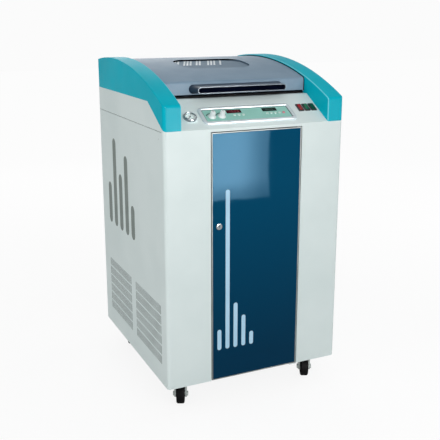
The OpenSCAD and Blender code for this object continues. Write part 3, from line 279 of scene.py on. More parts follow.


# In each row: low and high tone as a screen shows them; noise scale of the colour change; lowest and
# highest roughness; noise scale, strength and depth in millimetres of the surface texture; gloss; then
# other shader values, heights between which a painted shade rises to the high tone, stretch of the noise or tone
# of the painted highlight on marked edges
finishLooks = {
    "whitePaint": ((219, 232, 231), (226, 238, 237), 5, (0.38, 0.46), (1500, 0.1, 0.1), 0.0425),
    "tealMoulding": (
        (0, 175, 195), (4, 183, 203), 7, (0.4, 0.48), (2600, 0.12, 0.06), 0.03,
        # painted highlight: a paler teal on the end caps' marked bevel faces
        {"edge": (112, 212, 226)}),
    "slateMoulding": ((126, 149, 168), (134, 157, 176), 9, (0.42, 0.5), (2600, 0.1, 0.06), 0.05),
    "doorBlue": (
        (0, 49, 77), (0, 71, 104), 2.2, (0.03, 0.05), (3, 0.4, 4), 0.0875,
        # painted shade: the door's blue is darker towards the bottom, rising to the high tone between 0.14 and
        # 0.66 m
        {"tint": (0.27, 0.61, 0.88, 1), "rise": (0.14, 0.66)}),
    "doorSilver": ((124, 130, 129), (138, 144, 143), 12, (0.4, 0.48), (1800, 0.06, 0.06), 0.08, {"metal": 0.1}),
    "blackMoulding": ((20, 21, 26), (27, 29, 35), 20, (0.34, 0.44), (2400, 0.14, 0.08), 0.45),
    "gripNavy": ((38, 52, 68), (46, 61, 78), 16, (0.3, 0.38), (2400, 0.1, 0.06), 0.15),
    # painted shade: a darker copy of the grip's navy for the handle's recess
    "recessShadeNavy": ((6, 10, 26), (10, 15, 34), 16, (0.36, 0.44), (2400, 0.1, 0.06), 0),
    "gripRim": ((128, 139, 150), (141, 151, 161), 30, (0.24, 0.32), (900, 0.02, 0.03), 0.15, {"metal": 0.15}),
    "gaugeChrome": ((138, 144, 148), (154, 160, 164), 30, (0.03, 0.06), (900, 0.02, 0.03), 0.5, {"metal": 1}),
    "casterSteel": ((158, 166, 163), (174, 181, 178), 50, (0.36, 0.48), (700, 0.1, 0.05), 0.2, {"metal": 0.3}),
    "zincSteel": ((168, 174, 176), (192, 197, 198), 60, (0.3, 0.46), (700, 0.1, 0.05), 0.5, {"metal": 0.9}),
    "brushedSteel": (
        (176, 181, 184), (198, 202, 204), 90, (0.22, 0.36), (420, 0.12, 0.05), 0.5,
        {"metal": 1, "stretch": (1, 1, 9)}),
    "machinedAluminium": (
        (188, 191, 195), (207, 210, 213), 110, (0.24, 0.36), (600, 0.08, 0.04), 0.5,
        {"metal": 1, "stretch": (1, 1, 6)}),
    "machineEnamel": ((34, 58, 84), (42, 68, 96), 12, (0.32, 0.46), (300, 0.25, 0.3), 0.5),
    "bezelSilver": (
        (194, 205, 209), (206, 216, 220), 14, (0.24, 0.32), (2200, 0.05, 0.05), 0.05,
        {"metal": 0.15}),
    "panelFilm": ((140, 196, 184), (150, 205, 194), 10, (0.44, 0.54), (3200, 0.1, 0.05), 0.2),
    "whiteMoulding": ((228, 236, 236), (237, 243, 243), 40, (0.24, 0.32), (2600, 0.05, 0.04), 0.2),
    "keyMoulding": ((192, 217, 209), (202, 224, 217), 60, (0.3, 0.38), (2600, 0.05, 0.04), 0.15),
    "rubber": ((5, 5, 7), (11, 11, 13), 35, (0.62, 0.78), (1300, 0.2, 0.12), 0.04),
    # dark rubber for the seals and lip, and painted shade where it lines the lid gaps and the window's far edge
    "sealRubberAndShade": ((2, 4, 8), (6, 9, 14), 35, (0.7, 0.8), (1300, 0.2, 0.12), 0),
    "boardGreen": ((18, 84, 46), (26, 98, 56), 120, (0.3, 0.4), (900, 0.15, 0.05), 0.5),
    "redLens": ((142, 12, 24), (158, 18, 30), 60, (0.16, 0.24), (1800, 0.05, 0.04), 0.2),
    "greenLens": ((18, 96, 66), (26, 110, 78), 60, (0.16, 0.24), (1800, 0.05, 0.04), 0.2),
    "darkGreenLens": ((16, 78, 58), (22, 90, 68), 60, (0.16, 0.24), (1800, 0.05, 0.04), 0.2),
    "pinkLens": ((190, 100, 112), (201, 113, 124), 80, (0.14, 0.22), (1800, 0.05, 0.04), 0.2),
    "displayRed": ((54, 0, 14), (64, 2, 19), 60, (0.08, 0.14), (1800, 0.03, 0.03), 0.06),
    "displayGreen": ((0, 28, 23), (3, 35, 29), 60, (0.08, 0.14), (1800, 0.03, 0.03), 0.06),
    "dialPaper": ((236, 238, 234), (243, 244, 241), 50, (0.5, 0.6), (2600, 0.05, 0.03), 0.3),
    # painted shade along the bezel's inner foot
    "bezelFootShade": ((70, 80, 82), (82, 92, 94), 80, (0.5, 0.6), (2600, 0.05, 0.03), 0.1),
    "darkInk": ((30, 32, 36), (40, 42, 46), 80, (0.45, 0.55), (2600, 0.05, 0.03), 0.3),
    "whiteInk": ((236, 242, 240), (244, 247, 246), 80, (0.45, 0.55), (2600, 0.05, 0.03), 0.3),
    # painted reflection: the pale bars on the lid window
    "paintedReflection": ((206, 216, 222), (216, 225, 230), 60, (0.45, 0.55), (2600, 0.05, 0.03), 0.2),
    "panelPrint": ((104, 117, 112), (112, 125, 120), 12, (0.44, 0.52), (1500, 0.08, 0.06), 0.3),
    "doorPrint": ((178, 216, 240), (186, 222, 245), 12, (0.3, 0.38), (1500, 0.05, 0.04), 0.012),
    "screwShade": ((84, 92, 92), (98, 106, 106), 60, (0.5, 0.6), (700, 0.1, 0.05), 0.1),
    "slotShade": ((58, 66, 66), (70, 79, 78), 40, (0.7, 0.8), (900, 0.2, 0.2), 0),
    "quartz": ((236, 232, 222), (244, 241, 234), 60, (0.28, 0.4), (900, 0.1, 0.06), 0.5, {"clear": 0.35}),
    "clearPane": (
        (232, 243, 244), (238, 247, 248), 4, (0.02, 0.05), (3, 0.03, 3), 0.5,
        {"clear": 0.95, "bend": 1.49}),
    "smokedPane": (
        (123, 144, 162), (131, 152, 170), 4, (0.42, 0.5), (3, 0.03, 3), 0.05,
        {"clear": 0.12, "bend": 1.15}),
}
finishes = {name: makeFinish(name, *look) for name, look in finishLooks.items()}


def makeGlow(name, tones, patch, strength):
    glow, tree, shader = newMaterial(name)
    tone = addTones(tree, addNoise(tree, patch, noiseDetail["glow"]), tones)
    feed(tree, shader, {
        "Base Color": tone, "Emission Color": tone, "Emission Strength": strength, "Roughness": glowRough})
    return glow


# tones, noise scale and strength
glowLooks = {
    "redGlow": (((128, 8, 32), (146, 14, 40)), 220, 0.12),
    "greenGlow": (((20, 70, 54), (28, 82, 64)), 220, 0.1),
}
finishes.update({name: makeGlow(name, *look) for name, look in glowLooks.items()})
print("finishes ready:", len(finishes))


# Shaping tools

weldGap = 0.01 * mm  # corners of a CAD node nearer than this become one
ringGap = 0.0005 * mm  # the same for rings that meet
flatAngle = math.radians(0.4)  # faces that turn less than this are joined
breakAngle = math.radians(30)  # edges that turn more than this are broken
downward = -0.4  # a face whose normal dips under this looks down
outward = 0.03  # normal across times place across, above which an edge faces away from the middle and gets no painted highlight
hair = 0.01 * mm  # left straight between round ends
sharpAngle = 34  # degrees, from which an edge shows as a crease
acrossAxis = Vector((1, 0, 0))


def addPiece(name, mesh, finishName, body, standsFor=()):
    piece = addObject(name, mesh)
    mesh.materials.clear()
    mesh.materials.append(finishes[finishName])
    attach(piece, body)
    if standsFor:
        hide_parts(*standsFor)
    return piece


def smooth(mesh, sharp):
    for face in mesh.polygons:
        face.use_smooth = True
    mesh.set_sharp_from_angle(angle=math.radians(sharp))


def toMesh(name, work):
    mesh = bpy.data.meshes.new(name)
    work.to_mesh(mesh)
    work.free()
    return mesh


# A piece that rides with a CAD node's body and, where told, stands for the node
def addShape(name, work, finishName, node, standsFor=False, sharp=sharpAngle, place=None):
    mesh = toMesh(name, work)
    smooth(mesh, sharp)
    if place is not None:
        mesh.transform(place)
    return addPiece(
        name, mesh, finishName, bodyOf[node], [node] if standsFor else ())


def evenNormals(piece):
    keeper = piece.modifiers.new("evenNormals", "WEIGHTED_NORMAL")
    keeper.keep_sharp = True


def isBroken(edge, openBelow):
    if not edge.is_manifold or edge.calc_face_angle_signed() < breakAngle:
        return False
    return not (openBelow and any(face.normal.z < downward for face in edge.link_faces))


# A merged copy of a CAD node, with its outer edges broken by a radius in millimetres and, where asked, a painted
# highlight on the broken edges that don't face away from the middle
def dress(node, finishName, radius=0.0, segments=3, openBelow=False, paintEdgeHighlight=False):
    work = bmesh.new()
    work.from_mesh(nodes[node].data)
    bmesh.ops.remove_doubles(work, verts=work.verts, dist=weldGap)
    bmesh.ops.dissolve_limit(work, angle_limit=flatAngle, verts=work.verts, edges=work.edges)
    if radius > 0:
        edges = [edge for edge in work.edges if isBroken(edge, openBelow)]
        mark = work.faces.layers.float.new("edge") if paintEdgeHighlight else None
        broken = bmesh.ops.bevel(
            work, geom=edges, offset=radius * mm, offset_type="OFFSET", segments=segments, profile=0.5,
            affect="EDGES", clamp_overlap=True)["faces"]
        # painted highlight: the edge mark makes these bevel faces paler
        for face in broken if paintEdgeHighlight else ():
            face.normal_update()
            face[mark] = float(face.normal.x * face.calc_center_median().x < outward)
    evenNormals(addShape("dressed_" + node, work, finishName, node, standsFor=True))


def circle(radius, steps):
    turns = [2 * math.pi * step / steps for step in range(steps)]
    return [(radius * math.cos(turn), radius * math.sin(turn)) for turn in turns]


def roundedOutline(width, depth, radius, steps=12):
    points = []
    for quarter, (signX, signY) in enumerate([(1, 1), (-1, 1), (-1, -1), (1, -1)]):
        centreX = signX * (width / 2 - radius)
        centreY = signY * (depth / 2 - radius)
        for step in range(steps + 1):
            angle = math.radians(90 * (quarter + step / steps))
            points.append((centreX + radius * math.cos(angle), centreY + radius * math.sin(angle)))
    return points


def loft(rings, wrap=False, startCap=True, endCap=True):  # a wrapped loft has no ends to cap
    work = bmesh.new()
    grid = [[work.verts.new(point) for point in ring] for ring in rings]
    count = len(rings[0])
    pairs = list(zip(grid, grid[1:]))
    if wrap:
        pairs.append((grid[-1], grid[0]))
    for low, high in pairs:
        for index in range(count):
            after = (index + 1) % count
            work.faces.new((low[index], low[after], high[after], high[index]))
    if startCap and not wrap:
        work.faces.new(list(reversed(grid[0])))
    if endCap and not wrap:
        work.faces.new(grid[-1])
    bmesh.ops.remove_doubles(work, verts=work.verts, dist=ringGap)
    bmesh.ops.recalc_face_normals(work, faces=work.faces)
    return work


# A thin plate over an outline in the local XY plane, with its top edge broken
def plate(outlineAt, thickness, edge):
    rows = ((0, 0), (0, thickness - edge), (edge, thickness))
    return loft([[(x, y, height) for x, y in outlineAt(inset)] for inset, height in rows])


def roundedPlate(width, depth, radius, steps, thickness, edge, lost=1.0):  # lost: radius against inset
    def outlineAt(inset):
        return roundedOutline(width - 2 * inset, depth - 2 * inset, radius - lost * inset, steps)
    return plate(outlineAt, thickness, edge)


def joinInto(target, source, matrix):
    mesh = toMesh("part", source)
    mesh.transform(matrix)
    target.from_mesh(mesh)
    bpy.data.meshes.remove(mesh)


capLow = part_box("left_end_cap")[0]
deckOut = -Vector(joints["speed_turn"]["axis"]).normalized()
deckUp = deckOut.cross(acrossAxis)
deckStart = Vector((0, capLow.y, capLow.z))


def onDeck(x, v, height=0.0):  # x across, v up the slope, height square to it
    place = deckStart + acrossAxis * x + deckUp * v + deckOut * height
    return Matrix(((*acrossAxis, 0), (*deckUp, 0), (*deckOut, 0), (*place, 1))).transposed()


def deckPlaceOf(joint):  # where a joint's axis meets the deck
    offset = Vector(joints[joint]["pos_m"]) - deckStart
    return offset.x, offset.dot(deckUp)


# Geometry Nodes

screwBall = {"Segments": 20, "Rings": 12, "Radius": 1.0}
recessReach = 1.15  # length of the recess against the head's radius
barCuts = 9  # rows of corners over the width that a bar is bent by
socketKind = {"Geometry": "Geometry", "Count": "Int", "Turn": "Vector", "Finish": "Material"}  # others: Float


def startTree(name, *sizes):
    tree = bpy.data.node_groups.new(name, "GeometryNodeTree")
    for label in ("Geometry", *sizes, "Finish"):
        kind = "NodeSocket" + socketKind.get(label, "Float")
        tree.interface.new_socket(label, in_out="INPUT", socket_type=kind)
    tree.interface.new_socket("Geometry", in_out="OUTPUT", socket_type="NodeSocketGeometry")
    return tree, addNode(tree, "NodeGroupInput").outputs


def endTree(tree, given, points, instance, turn):
    spread = addNode(
        tree, "GeometryNodeInstanceOnPoints", {"Points": points, "Instance": instance, "Rotation": turn})
    real = addNode(tree, "GeometryNodeRealizeInstances", {"Geometry": spread.outputs["Instances"]})
    painted = addNode(
        tree, "GeometryNodeSetMaterial", {"Geometry": real.outputs["Geometry"], "Material": given["Finish"]})
    addNode(tree, "NodeGroupOutput", {"Geometry": painted.outputs["Geometry"]})
    return tree


def addVector(tree, *parts):
    return addNode(tree, "ShaderNodeCombineXYZ", dict(enumerate(parts))).outputs[0]


def addBlock(tree, x, y, z, cutsY=2):
    size = addVector(tree, x, y, z)
    return addNode(tree, "GeometryNodeMeshCube", {"Size": size, "Vertices Y": cutsY}).outputs["Mesh"]


def addMove(tree, mesh, label, amount):
    return addNode(tree, "GeometryNodeTransform", {"Geometry": mesh, label: amount}).outputs["Geometry"]


# Domed screw heads with a cross recess, on the points of the carrier mesh
def screwTree():
    tree, given = startTree("screws", "Head radius", "Head height", "Recess width", "Turn")
    radius, height, width = (given[label] for label in ("Head radius", "Head height", "Recess width"))
    ball = addNode(tree, "GeometryNodeMeshUVSphere", screwBall).outputs["Mesh"]
    head = addMove(tree, ball, "Scale", addVector(tree, radius, radius, height))
    cut = addNode(tree, "GeometryNodeMeshBoolean", {"Mesh 1": head}, operation="DIFFERENCE")
    span = addMath(tree, "MULTIPLY", radius, recessReach)
    for x, y in ((span, width), (width, span)):
        block = addBlock(tree, x, y, height)
        feed(tree, cut, {"Mesh 2": addMove(tree, block, "Translation", addVector(tree, 0.0, 0.0, height))})
    return endTree(tree, given, given["Geometry"], cut.outputs["Mesh"], given["Turn"])


# Short bars set round an arc, each pointing outwards
def tickTree():
    tree, given = startTree("arcTicks", "Count", "Radius", "Start", "Sweep", "Length", "Width", "Thickness")
    index = addNode(tree, "GeometryNodeInputIndex").outputs[0]
    share = addMath(tree, "DIVIDE", index, addMath(tree, "SUBTRACT", given["Count"], 1.0))
    angle = addMath(tree, "ADD", given["Start"], addMath(tree, "MULTIPLY", share, given["Sweep"]))
    place = addVector(tree, *(
        addMath(tree, "MULTIPLY", addMath(tree, turn, angle), given["Radius"]) for turn in ("COSINE", "SINE")))
    points = addNode(tree, "GeometryNodePoints", {"Count": given["Count"], "Position": place})
    bar = addBlock(tree, given["Length"], given["Width"], given["Thickness"])
    return endTree(tree, given, points.outputs[0], bar, addVector(tree, 0.0, 0.0, angle))


# Equal bars on the points of the carrier mesh, each bent over its width by a curve of 1 / radius
def barTree():
    tree, given = startTree("bars", "Length", "Width", "Thickness", "Turn", "Curve")
    bar = addBlock(tree, given["Length"], given["Width"], given["Thickness"], barCuts)
    position = addNode(tree, "GeometryNodeInputPosition").outputs[0]
    across = addNode(tree, "ShaderNodeSeparateXYZ", {0: position}).outputs[1]
    square = addMath(tree, "MULTIPLY", across, across)
    drop = addMath(tree, "MULTIPLY", addMath(tree, "MULTIPLY", square, given["Curve"]), -0.5)
    offset = addVector(tree, 0.0, 0.0, drop)
    bend = addNode(tree, "GeometryNodeSetPosition", {"Geometry": bar, "Offset": offset})
    return endTree(tree, given, given["Geometry"], bend.outputs["Geometry"], given["Turn"])


trees = {"screws": screwTree(), "ticks": tickTree(), "bars": barTree()}


def grow(treeName, name, finishName, sizes, points=(), place=None):
    tree = trees[treeName]
    keys = {item.name: item.identifier for item in tree.interface.items_tree if item.in_out == "INPUT"}
    carrierMesh = bpy.data.meshes.new(name)
    carrierMesh.from_pydata(list(points), [], [])
    carrier = addObject(name + "Carrier", carrierMesh)
    maker = carrier.modifiers.new("maker", "NODES")
    maker.node_group = tree
    for label, value in {**sizes, "Finish": finishes[finishName]}.items():
        maker[keys[label]] = value
    grown = carrier.evaluated_get(bpy.context.evaluated_depsgraph_get())
    mesh = bpy.data.meshes.new_from_object(grown)
    mesh.name = name
    carrier.modifiers.remove(maker)
    bpy.data.objects.remove(carrier)
    if place is not None:
        mesh.transform(place)
    return mesh


def addGrown(treeName, name, finishName, sizes, node, points=(), place=None):
    mesh = grow(treeName, name, finishName, sizes, points, place)
    addPiece(name, mesh, finishName, bodyOf[node])


print("tools ready")


# Cabinet

sides = (("left", -1), ("right", 1))
noTurn = (0.0, 0.0, 0.0)
quarterTurn = (0.0, 0.0, math.pi / 2)


def faceAcross(node, sign):  # x of a node's left face for a sign of -1, of its right face for 1
    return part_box(node)[max(sign, 0)].x


# Painted shade: dark sheets just inside the vent slots stand in for the shade inside the cabinet; blocks start at
# their front lower slot
ventLook = {
    "slotWidth": 3.6, "slotHeight": 26.0, "slotPitch": 9.5, "rowPitch": 31.0, "rows": 6, "slots": 24,
    "up": 61.0, "sides": [48.0, 316.0], "rearStart": -224.0, "setBack": 0.20, "thickness": 0.8, "over": 0.02,
}


def ventPoints(look, starts, place):
    points = []
    for start in starts:
        for row in range(look["rows"]):
            for slot in range(look["slots"]):
                along = (start + slot * look["slotPitch"] + look["slotWidth"] / 2) * mm
                up = (look["up"] + row * look["rowPitch"] + look["slotHeight"] / 2) * mm
                points.append(place(along, up))
    return points


def makeVentScreens(look):
    deep = (look["setBack"] + look["thickness"] / 2) * mm
    size = {
        "Length": (look["slotWidth"] + look["over"]) * mm, "Width": look["thickness"] * mm,
        "Thickness": (look["slotHeight"] + look["over"]) * mm, "Curve": 0.0,
    }
    low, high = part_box("rear_panel")
    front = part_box("front_fascia")[0].y
    for side, sign in sides:
        face = faceAcross(side + "_side_panel", sign) - sign * deep
        points = ventPoints(look, look["sides"], lambda along, up: (face, front + along, low.z + up))
        sizes = {**size, "Turn": quarterTurn}
        addGrown("bars", side + "Vent", "slotShade", sizes, "lid_seals", points)
    points = ventPoints(look, [look["rearStart"]], lambda along, up: (along, high.y - deep, low.z + up))
    sizes = {**size, "Turn": noTurn}
    addGrown("bars", "rearVent", "slotShade", sizes, "lid_seals", points)


# Painted shade: dark strips behind the seams over the side panels stand in for the shade in the gaps
seamLook = {"height": 8.0, "thickness": 0.8, "inset": 3.0}


def makeSeamStrips(look):
    thick = look["thickness"] * mm
    for side, sign in sides:
        node = side + "_side_panel"
        low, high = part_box(node)
        sizes = {
            "Length": high.y - low.y - 2 * look["inset"] * mm, "Width": thick,
            "Thickness": look["height"] * mm, "Turn": quarterTurn, "Curve": 0.0,
        }
        point = (faceAcross(node, -sign) - sign * thick / 2, (low.y + high.y) / 2, high.z)
        addGrown("bars", side + "Seam", "slotShade", sizes, "lid_seals", [point])


# Painted shade: dark strips on the end caps' inner faces, along the lid's outline, stand in for the shade in the
# gaps beside the lid
lidGapShadeLook = {"below": 5.0, "above": 1.8, "thickness": 0.8, "footRoom": 3.0, "near": 0.1}


def lidOutline(look):  # from the foot of the front face over the top to the rear, as (y, z)
    corners = [vertex.co for vertex in nodes["lid_shell"].data.vertices]
    near = look["near"] * mm
    outer = max(corner.x for corner in corners)
    sideCorners = [corner for corner in corners if corner.x > outer - near]
    top = {}
    for corner in sideCorners:
        place = round(corner.y, 4)
        top[place] = max(corner.z, top.get(place, 0.0))
    front = min(top)
    foot = min(corner.z for corner in sideCorners if corner.y < front + near)
    return [Vector((front, foot + look["footRoom"] * mm))] + [Vector(spot) for spot in sorted(top.items())]


def makeLidFelt(look):
    outline = lidOutline(look)
    for side, sign in sides:
        face = faceAcross(side + "_end_cap", -sign)
        inside = face - sign * look["thickness"] * mm
        rings = []
        for before, here, after in zip(outline[:1] + outline, outline, outline[1:] + outline[-1:]):
            run = (after - before).normalized()
            square = Vector((-run.y, run.x))
            inner = here - square * look["below"] * mm
            rim = here + square * look["above"] * mm
            rings.append([(face, *inner), (face, *rim), (inside, *rim), (inside, *inner)])
        addShape(side + "LidGapShade", loft(rings), "sealRubberAndShade", "lid_seals")


# CAD nodes that show as they are
plainFinish = {
    "whitePaint": ("front_fascia", "left_side_panel", "right_side_panel", "rear_panel", "top_housing"),
    "zincSteel": ("base_pan", "condensing_unit", "caster_plates", "lid_hinge_brackets", "lid_hinge_leaves"),
    "rubber": ("lid_seals", "vacuum_hoses"),
    "boardGreen": ("control_board",),
    "panelFilm": ("control_panel",),
}
# finish, edge radius in millimetres and steps over the edge
capDress = ("tealMoulding", 2.2, 4)
# node: finish and edge radius in millimetres
driveDress = {
    "chamber_bowl": ("brushedSteel", 0), "drive_motor": ("machinedAluminium", 0.6),
    "cold_trap": ("brushedSteel", 1.5), "vacuum_pump": ("machineEnamel", 2.0),
    "infrared_lamps": ("quartz", 0), "power_inlet": ("blackMoulding", 0.6),
    "rotor": ("machinedAluminium", 0.6), "rotor_knob": ("blackMoulding", 1.0),
    "drive_shaft": ("brushedSteel", 0.5), "fan_blades": ("blackMoulding", 0.4),
}

for finishName, members in plainFinish.items():
    for node in members:
        nodes[node].data.materials.clear()
        nodes[node].data.materials.append(finishes[finishName])
makeSeamStrips(seamLook)
makeLidFelt(lidGapShadeLook)
for side in ("left", "right"):
    dress(side + "_end_cap", *capDress, openBelow=True, paintEdgeHighlight=True)
for node, look in driveDress.items():
    dress(node, *look)
makeVentScreens(ventLook)
print("cabinet and drive dressed")


# Lid

# finish, edge radius in millimetres, steps over the edge, and whether the lower edges stay sharp
lidDress = {
    "lid_shell": ("slateMoulding", 1.8, 4, True), "seal_plate": ("clearPane", 1.0),
    "lid_window": ("smokedPane", 0.4),
}
for node, look in lidDress.items():
    dress(node, *look)

handleLook = {
    # distance in front of the lid, length and height lost against the root, all in millimetres
    "profile": [
        (0, 0, 0), (3.0, 0, 0), (4.4, 1.4, 1.3), (7, 3.8, 2.8), (12, 7.0, 4.6), (20, 11.0, 6.2),
        (30, 14.6, 7.0), (40, 16.6, 7.1), (44, 17.6, 7.0), (45, 18.0, 7.0), (45, 23.0, 12.0),
    ],
    "recess": [(45, 23.0, 12.0), (44.2, 24.2, 13.2), (36, 24.8, 13.8), (35.4, 26.0, 15.0)],
    "sharp": 50,
    "trimInset": 0.95, "trimBack": 0.3, "trimRound": 0.75, "trimSteps": 12, "trimSharp": 60,
}


def makeHandle(look):
    gripLow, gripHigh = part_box("lid_handle")
    middle = (gripLow.z + gripHigh.z) / 2

    def ring(node, out, lengthLost, heightLost):
        low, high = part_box(node)
        tall = high.z - low.z - heightLost * mm
        outline = roundedOutline(high.x - low.x - lengthLost * mm, tall, tall / 2 - hair)
        return [(x, high.y - out * mm, middle + z) for x, z in outline]
    grip = loft([ring("lid_handle", *row) for row in look["profile"]], endCap=False)
    recess = loft([ring("lid_handle", *row) for row in look["recess"]], startCap=False)
    # painted shade: the recess takes the darker copy of the grip's navy
    for name, work, finishName in (("handleGrip", grip, "gripNavy"), ("handleRecess", recess, "recessShadeNavy")):
        evenNormals(addShape(name, work, finishName, "lid_handle", standsFor=True, sharp=look["sharp"]))

    rings = []
    for across, out in circle(look["trimRound"], look["trimSteps"]):
        lost = 2 * (look["trimInset"] - across)
        rings.append(ring("handle_trim", look["trimBack"] + out, lost, lost))
    trim = loft(rings, wrap=True)
    addShape("handleRim", trim, "gripRim", "handle_trim", standsFor=True, sharp=look["trimSharp"])


windowLook = {
    "corner": 46.0, "cornerSteps": 20, "lap": 10.0,  # the pane runs under the shell by the lap
    "sealGap": 0.02, "sealWidth": 1.4, "sealCrown": 0.84, "sealDeep": 4.5, "sealRise": 0.2, "sealTaper": 10,
    "sealStart": 6, "sealSharp": 40, "beside": 20.0,  # heights are taken beside the window
    # painted reflection, groups of pale bars on the pane: middle of their far ends and number of bars
    "groups": [(-94, 3), (-52, 3), (-16, 2), (28, 3), (59, 1)],
    "barPitch": 10.5, "barLength": 84.0, "barWidth": 5.6, "barBack": 2.5, "barHeight": 0.4, "barSlant": 23.5,
}
overhead = 2.0  # metres, above the whole part


def skinOf(node):
    work = bmesh.new()
    work.from_mesh(nodes[node].data)
    tree = BVHTree.FromBMesh(work)
    work.free()
    return tree


def heightOn(skin, x, y):
    return skin.ray_cast(Vector((x, y, overhead)), Vector((0, 0, -1)))[0].z


def windowOpening(look):  # width, depth and middle
    low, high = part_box("lid_window")
    lap = 2 * look["lap"] * mm
    return high.x - low.x - lap, high.y - low.y - lap, (low.y + high.y) / 2


# Dark seal round the far half of the window only, thin at both ends: painted shade where the recess's back wall is
# shaded
def makeWindowSeal(look):
    wide, deep, middle = windowOpening(look)
    steps = look["cornerSteps"]
    skin = skinOf("lid_shell")
    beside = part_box("lid_shell")[1].x - look["beside"] * mm
    gap, crown, width = (look[label] * mm for label in ("sealGap", "sealCrown", "sealWidth"))
    low, high = -look["sealDeep"] * mm, look["sealRise"] * mm
    section = [(gap, low), (gap, high), (crown, high), (width, 0.0), (width, low)]
    last = 2 * (steps + 1) - 1
    rings = []
    for index in range(look["sealStart"], last + 1):
        share = min(1.0, (min(index - look["sealStart"], last - index) + 1) / look["sealTaper"])
        ring = []
        for inset, up in section:
            thin = gap + (inset - gap) * share
            x, y = roundedOutline(wide - 2 * thin, deep - 2 * thin, look["corner"] * mm - thin, steps)[index]
            ring.append((x, middle + y, heightOn(skin, beside, middle + y) + up * share))
        rings.append(ring)
    addShape("windowSealShade", loft(rings), "sealRubberAndShade", "lid_shell", sharp=look["sealSharp"])


# Painted reflection: pale bars laid on the lid window's pane
def makeWindowBars(look):
    deep, middle = windowOpening(look)[1:]
    skin = skinOf("lid_window")
    half = look["barLength"] / 2 * mm
    slant = math.radians(look["barSlant"])
    reachX, reachY = half * math.sin(slant), half * math.cos(slant)
    row = middle + deep / 2 - look["barBack"] * mm - reachY
    near, top, far = (heightOn(skin, 0, row + side * reachY) for side in (-1, 0, 1))
    along = Vector((reachX, reachY, (far - near) / 2)).normalized()
    upward = Vector((0, near - far, 2 * reachY)).normalized()
    turn = Matrix((along.cross(upward), along, upward)).transposed().to_euler()
    points = []
    for across, count in look["groups"]:
        for index in range(count):
            x = (across + (index - (count - 1) / 2) * look["barPitch"]) * mm - reachX
            points.append((x, row, top))
    sizes = {
        "Length": look["barWidth"] * mm, "Width": 2 * half, "Thickness": look["barHeight"] * mm,
        "Turn": tuple(turn), "Curve": 2 * (top - (near + far) / 2) / half ** 2,
    }
    addGrown("bars", "windowReflections", "paintedReflection", sizes, "lid_window", points)


# Rubber lip along the lower front edge of the lid: its section as distance in front and height
lipLook = {
    "inset": 3.0,
    "section": [(-0.2, 0.1), (0.42, 0.1), (0.7, 0.5), (0.7, 4.0), (0.42, 4.5), (-0.2, 4.5)],
}


def makeLidLip(look):
    low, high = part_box("lid_shell")
    ends = (low.x + look["inset"] * mm, high.x - look["inset"] * mm)
    rings = [[(x, low.y - out * mm, low.z + up * mm) for out, up in look["section"]] for x in ends]
    addShape("lidLip", loft(rings), "sealRubberAndShade", "lid_shell")


makeHandle(handleLook)
makeLidLip(lipLook)
makeWindowSeal(windowLook)
makeWindowBars(windowLook)
print("lid dressed")


# Door

doorDress = {
    "door_frame": ("doorSilver", 0.7, 2), "door_glass": ("doorBlue", 0.8, 2),
    "door_lock": ("gaugeChrome", 0.5, 2),
}
for node, look in doorDress.items():
    dress(node, *look)

# Upright bars with round ends: place across, lower end and upper end in millimetres
doorPrint = {
    "finish": "doorPrint", "width": 13.0, "thickness": 0.10, "steps": 10,
    "bars": [(-118, 172, 236), (-92, 172, 652), (-66, 172, 312), (-40, 172, 270), (-14, 172, 214)],
}
sidePrint = {
    "finish": "panelPrint", "width": 34.0, "thickness": 0.03, "steps": 10,
    "bars": [(-20, 452, 560), (38, 452, 704), (96, 452, 636), (154, 452, 742), (212, 452, 590)],
}


def makeBars(name, look, node, facing):
    target = bmesh.new()
    wide = look["width"] * mm
    thick = look["thickness"] * mm
    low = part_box(node)[0]
    for across, foot, top in look["bars"]:
        bar = roundedPlate(wide, (top - foot) * mm, wide / 2 - hair, look["steps"], thick, thick / 2)
        x, z = across * mm, (foot + top) / 2 * mm
        if facing == "front":
            place = Matrix(((1, 0, 0, x), (0, 0, -1, low.y), (0, 1, 0, z), (0, 0, 0, 1)))
        else:
            place = Matrix(((0, 0, -1, low.x), (-1, 0, 0, x), (0, 1, 0, z), (0, 0, 0, 1)))
        joinInto(target, bar, place)
    addShape(name, target, look["finish"], node)


makeBars("doorBars", doorPrint, "door_glass", "front")
makeBars("sideBars", sidePrint, "left_side_panel", "left")
print("door dressed")


# Control deck

panelTop = 2.0 * mm
markSweep = (225, -270)  # degrees: where the marks of a dial start, and how far they run
bezelLook = {
    "corner": 14.0, "cornerLeast": 4.0, "sharp": 46,
    # inset and height in millimetres, from the outer foot over the crown to the inner foot
    "profile": [
        (0, 0), (0, 1.7), (0.4, 3.0), (1.4, 4.4), (3.0, 5.4), (5.0, 5.9), (7.0, 6.0), (8.6, 5.6), (9.7, 4.7),
        (10.3, 3.4), (10.5, 1.8), (10.5, 0),
    ],
    # painted shade: a dark line on the film along the inner foot
    "line": [(10.4, 1.95), (10.4, 2.1), (12.6, 2.1), (12.6, 1.95)],
}


def makeBezel(look):
    flat = onDeck(0, 0).inverted()
    local = [flat @ vertex.co for vertex in nodes["control_bezel"].data.vertices]
    left, right = min(p.x for p in local), max(p.x for p in local)
    low, high = min(p.y for p in local), max(p.y for p in local)
    place = onDeck((left + right) / 2, (low + high) / 2)

    def wrapped(profile):
        rings = []
        for inset, height in profile:
            radius = max(look["corner"] - inset, look["cornerLeast"]) * mm
            outline = roundedOutline(right - left - 2 * inset * mm, high - low - 2 * inset * mm, radius)
            rings.append([place @ Vector((x, y, height * mm)) for x, y in outline])
        return loft(rings, wrap=True)
    bezel = wrapped(look["profile"])
    addShape("panelBezel", bezel, "bezelSilver", "control_bezel", standsFor=True, sharp=look["sharp"])
    addShape("bezelFootShade", wrapped(look["line"]), "bezelFootShade", "control_panel")


def markSizes(own):
    start, sweep = own.get("sweep", markSweep)
    sizes = {label.capitalize(): own[label] * mm for label in ("radius", "length", "width", "thickness")}
    return {**sizes, "Count": own["count"], "Start": math.radians(start), "Sweep": math.radians(sweep)}


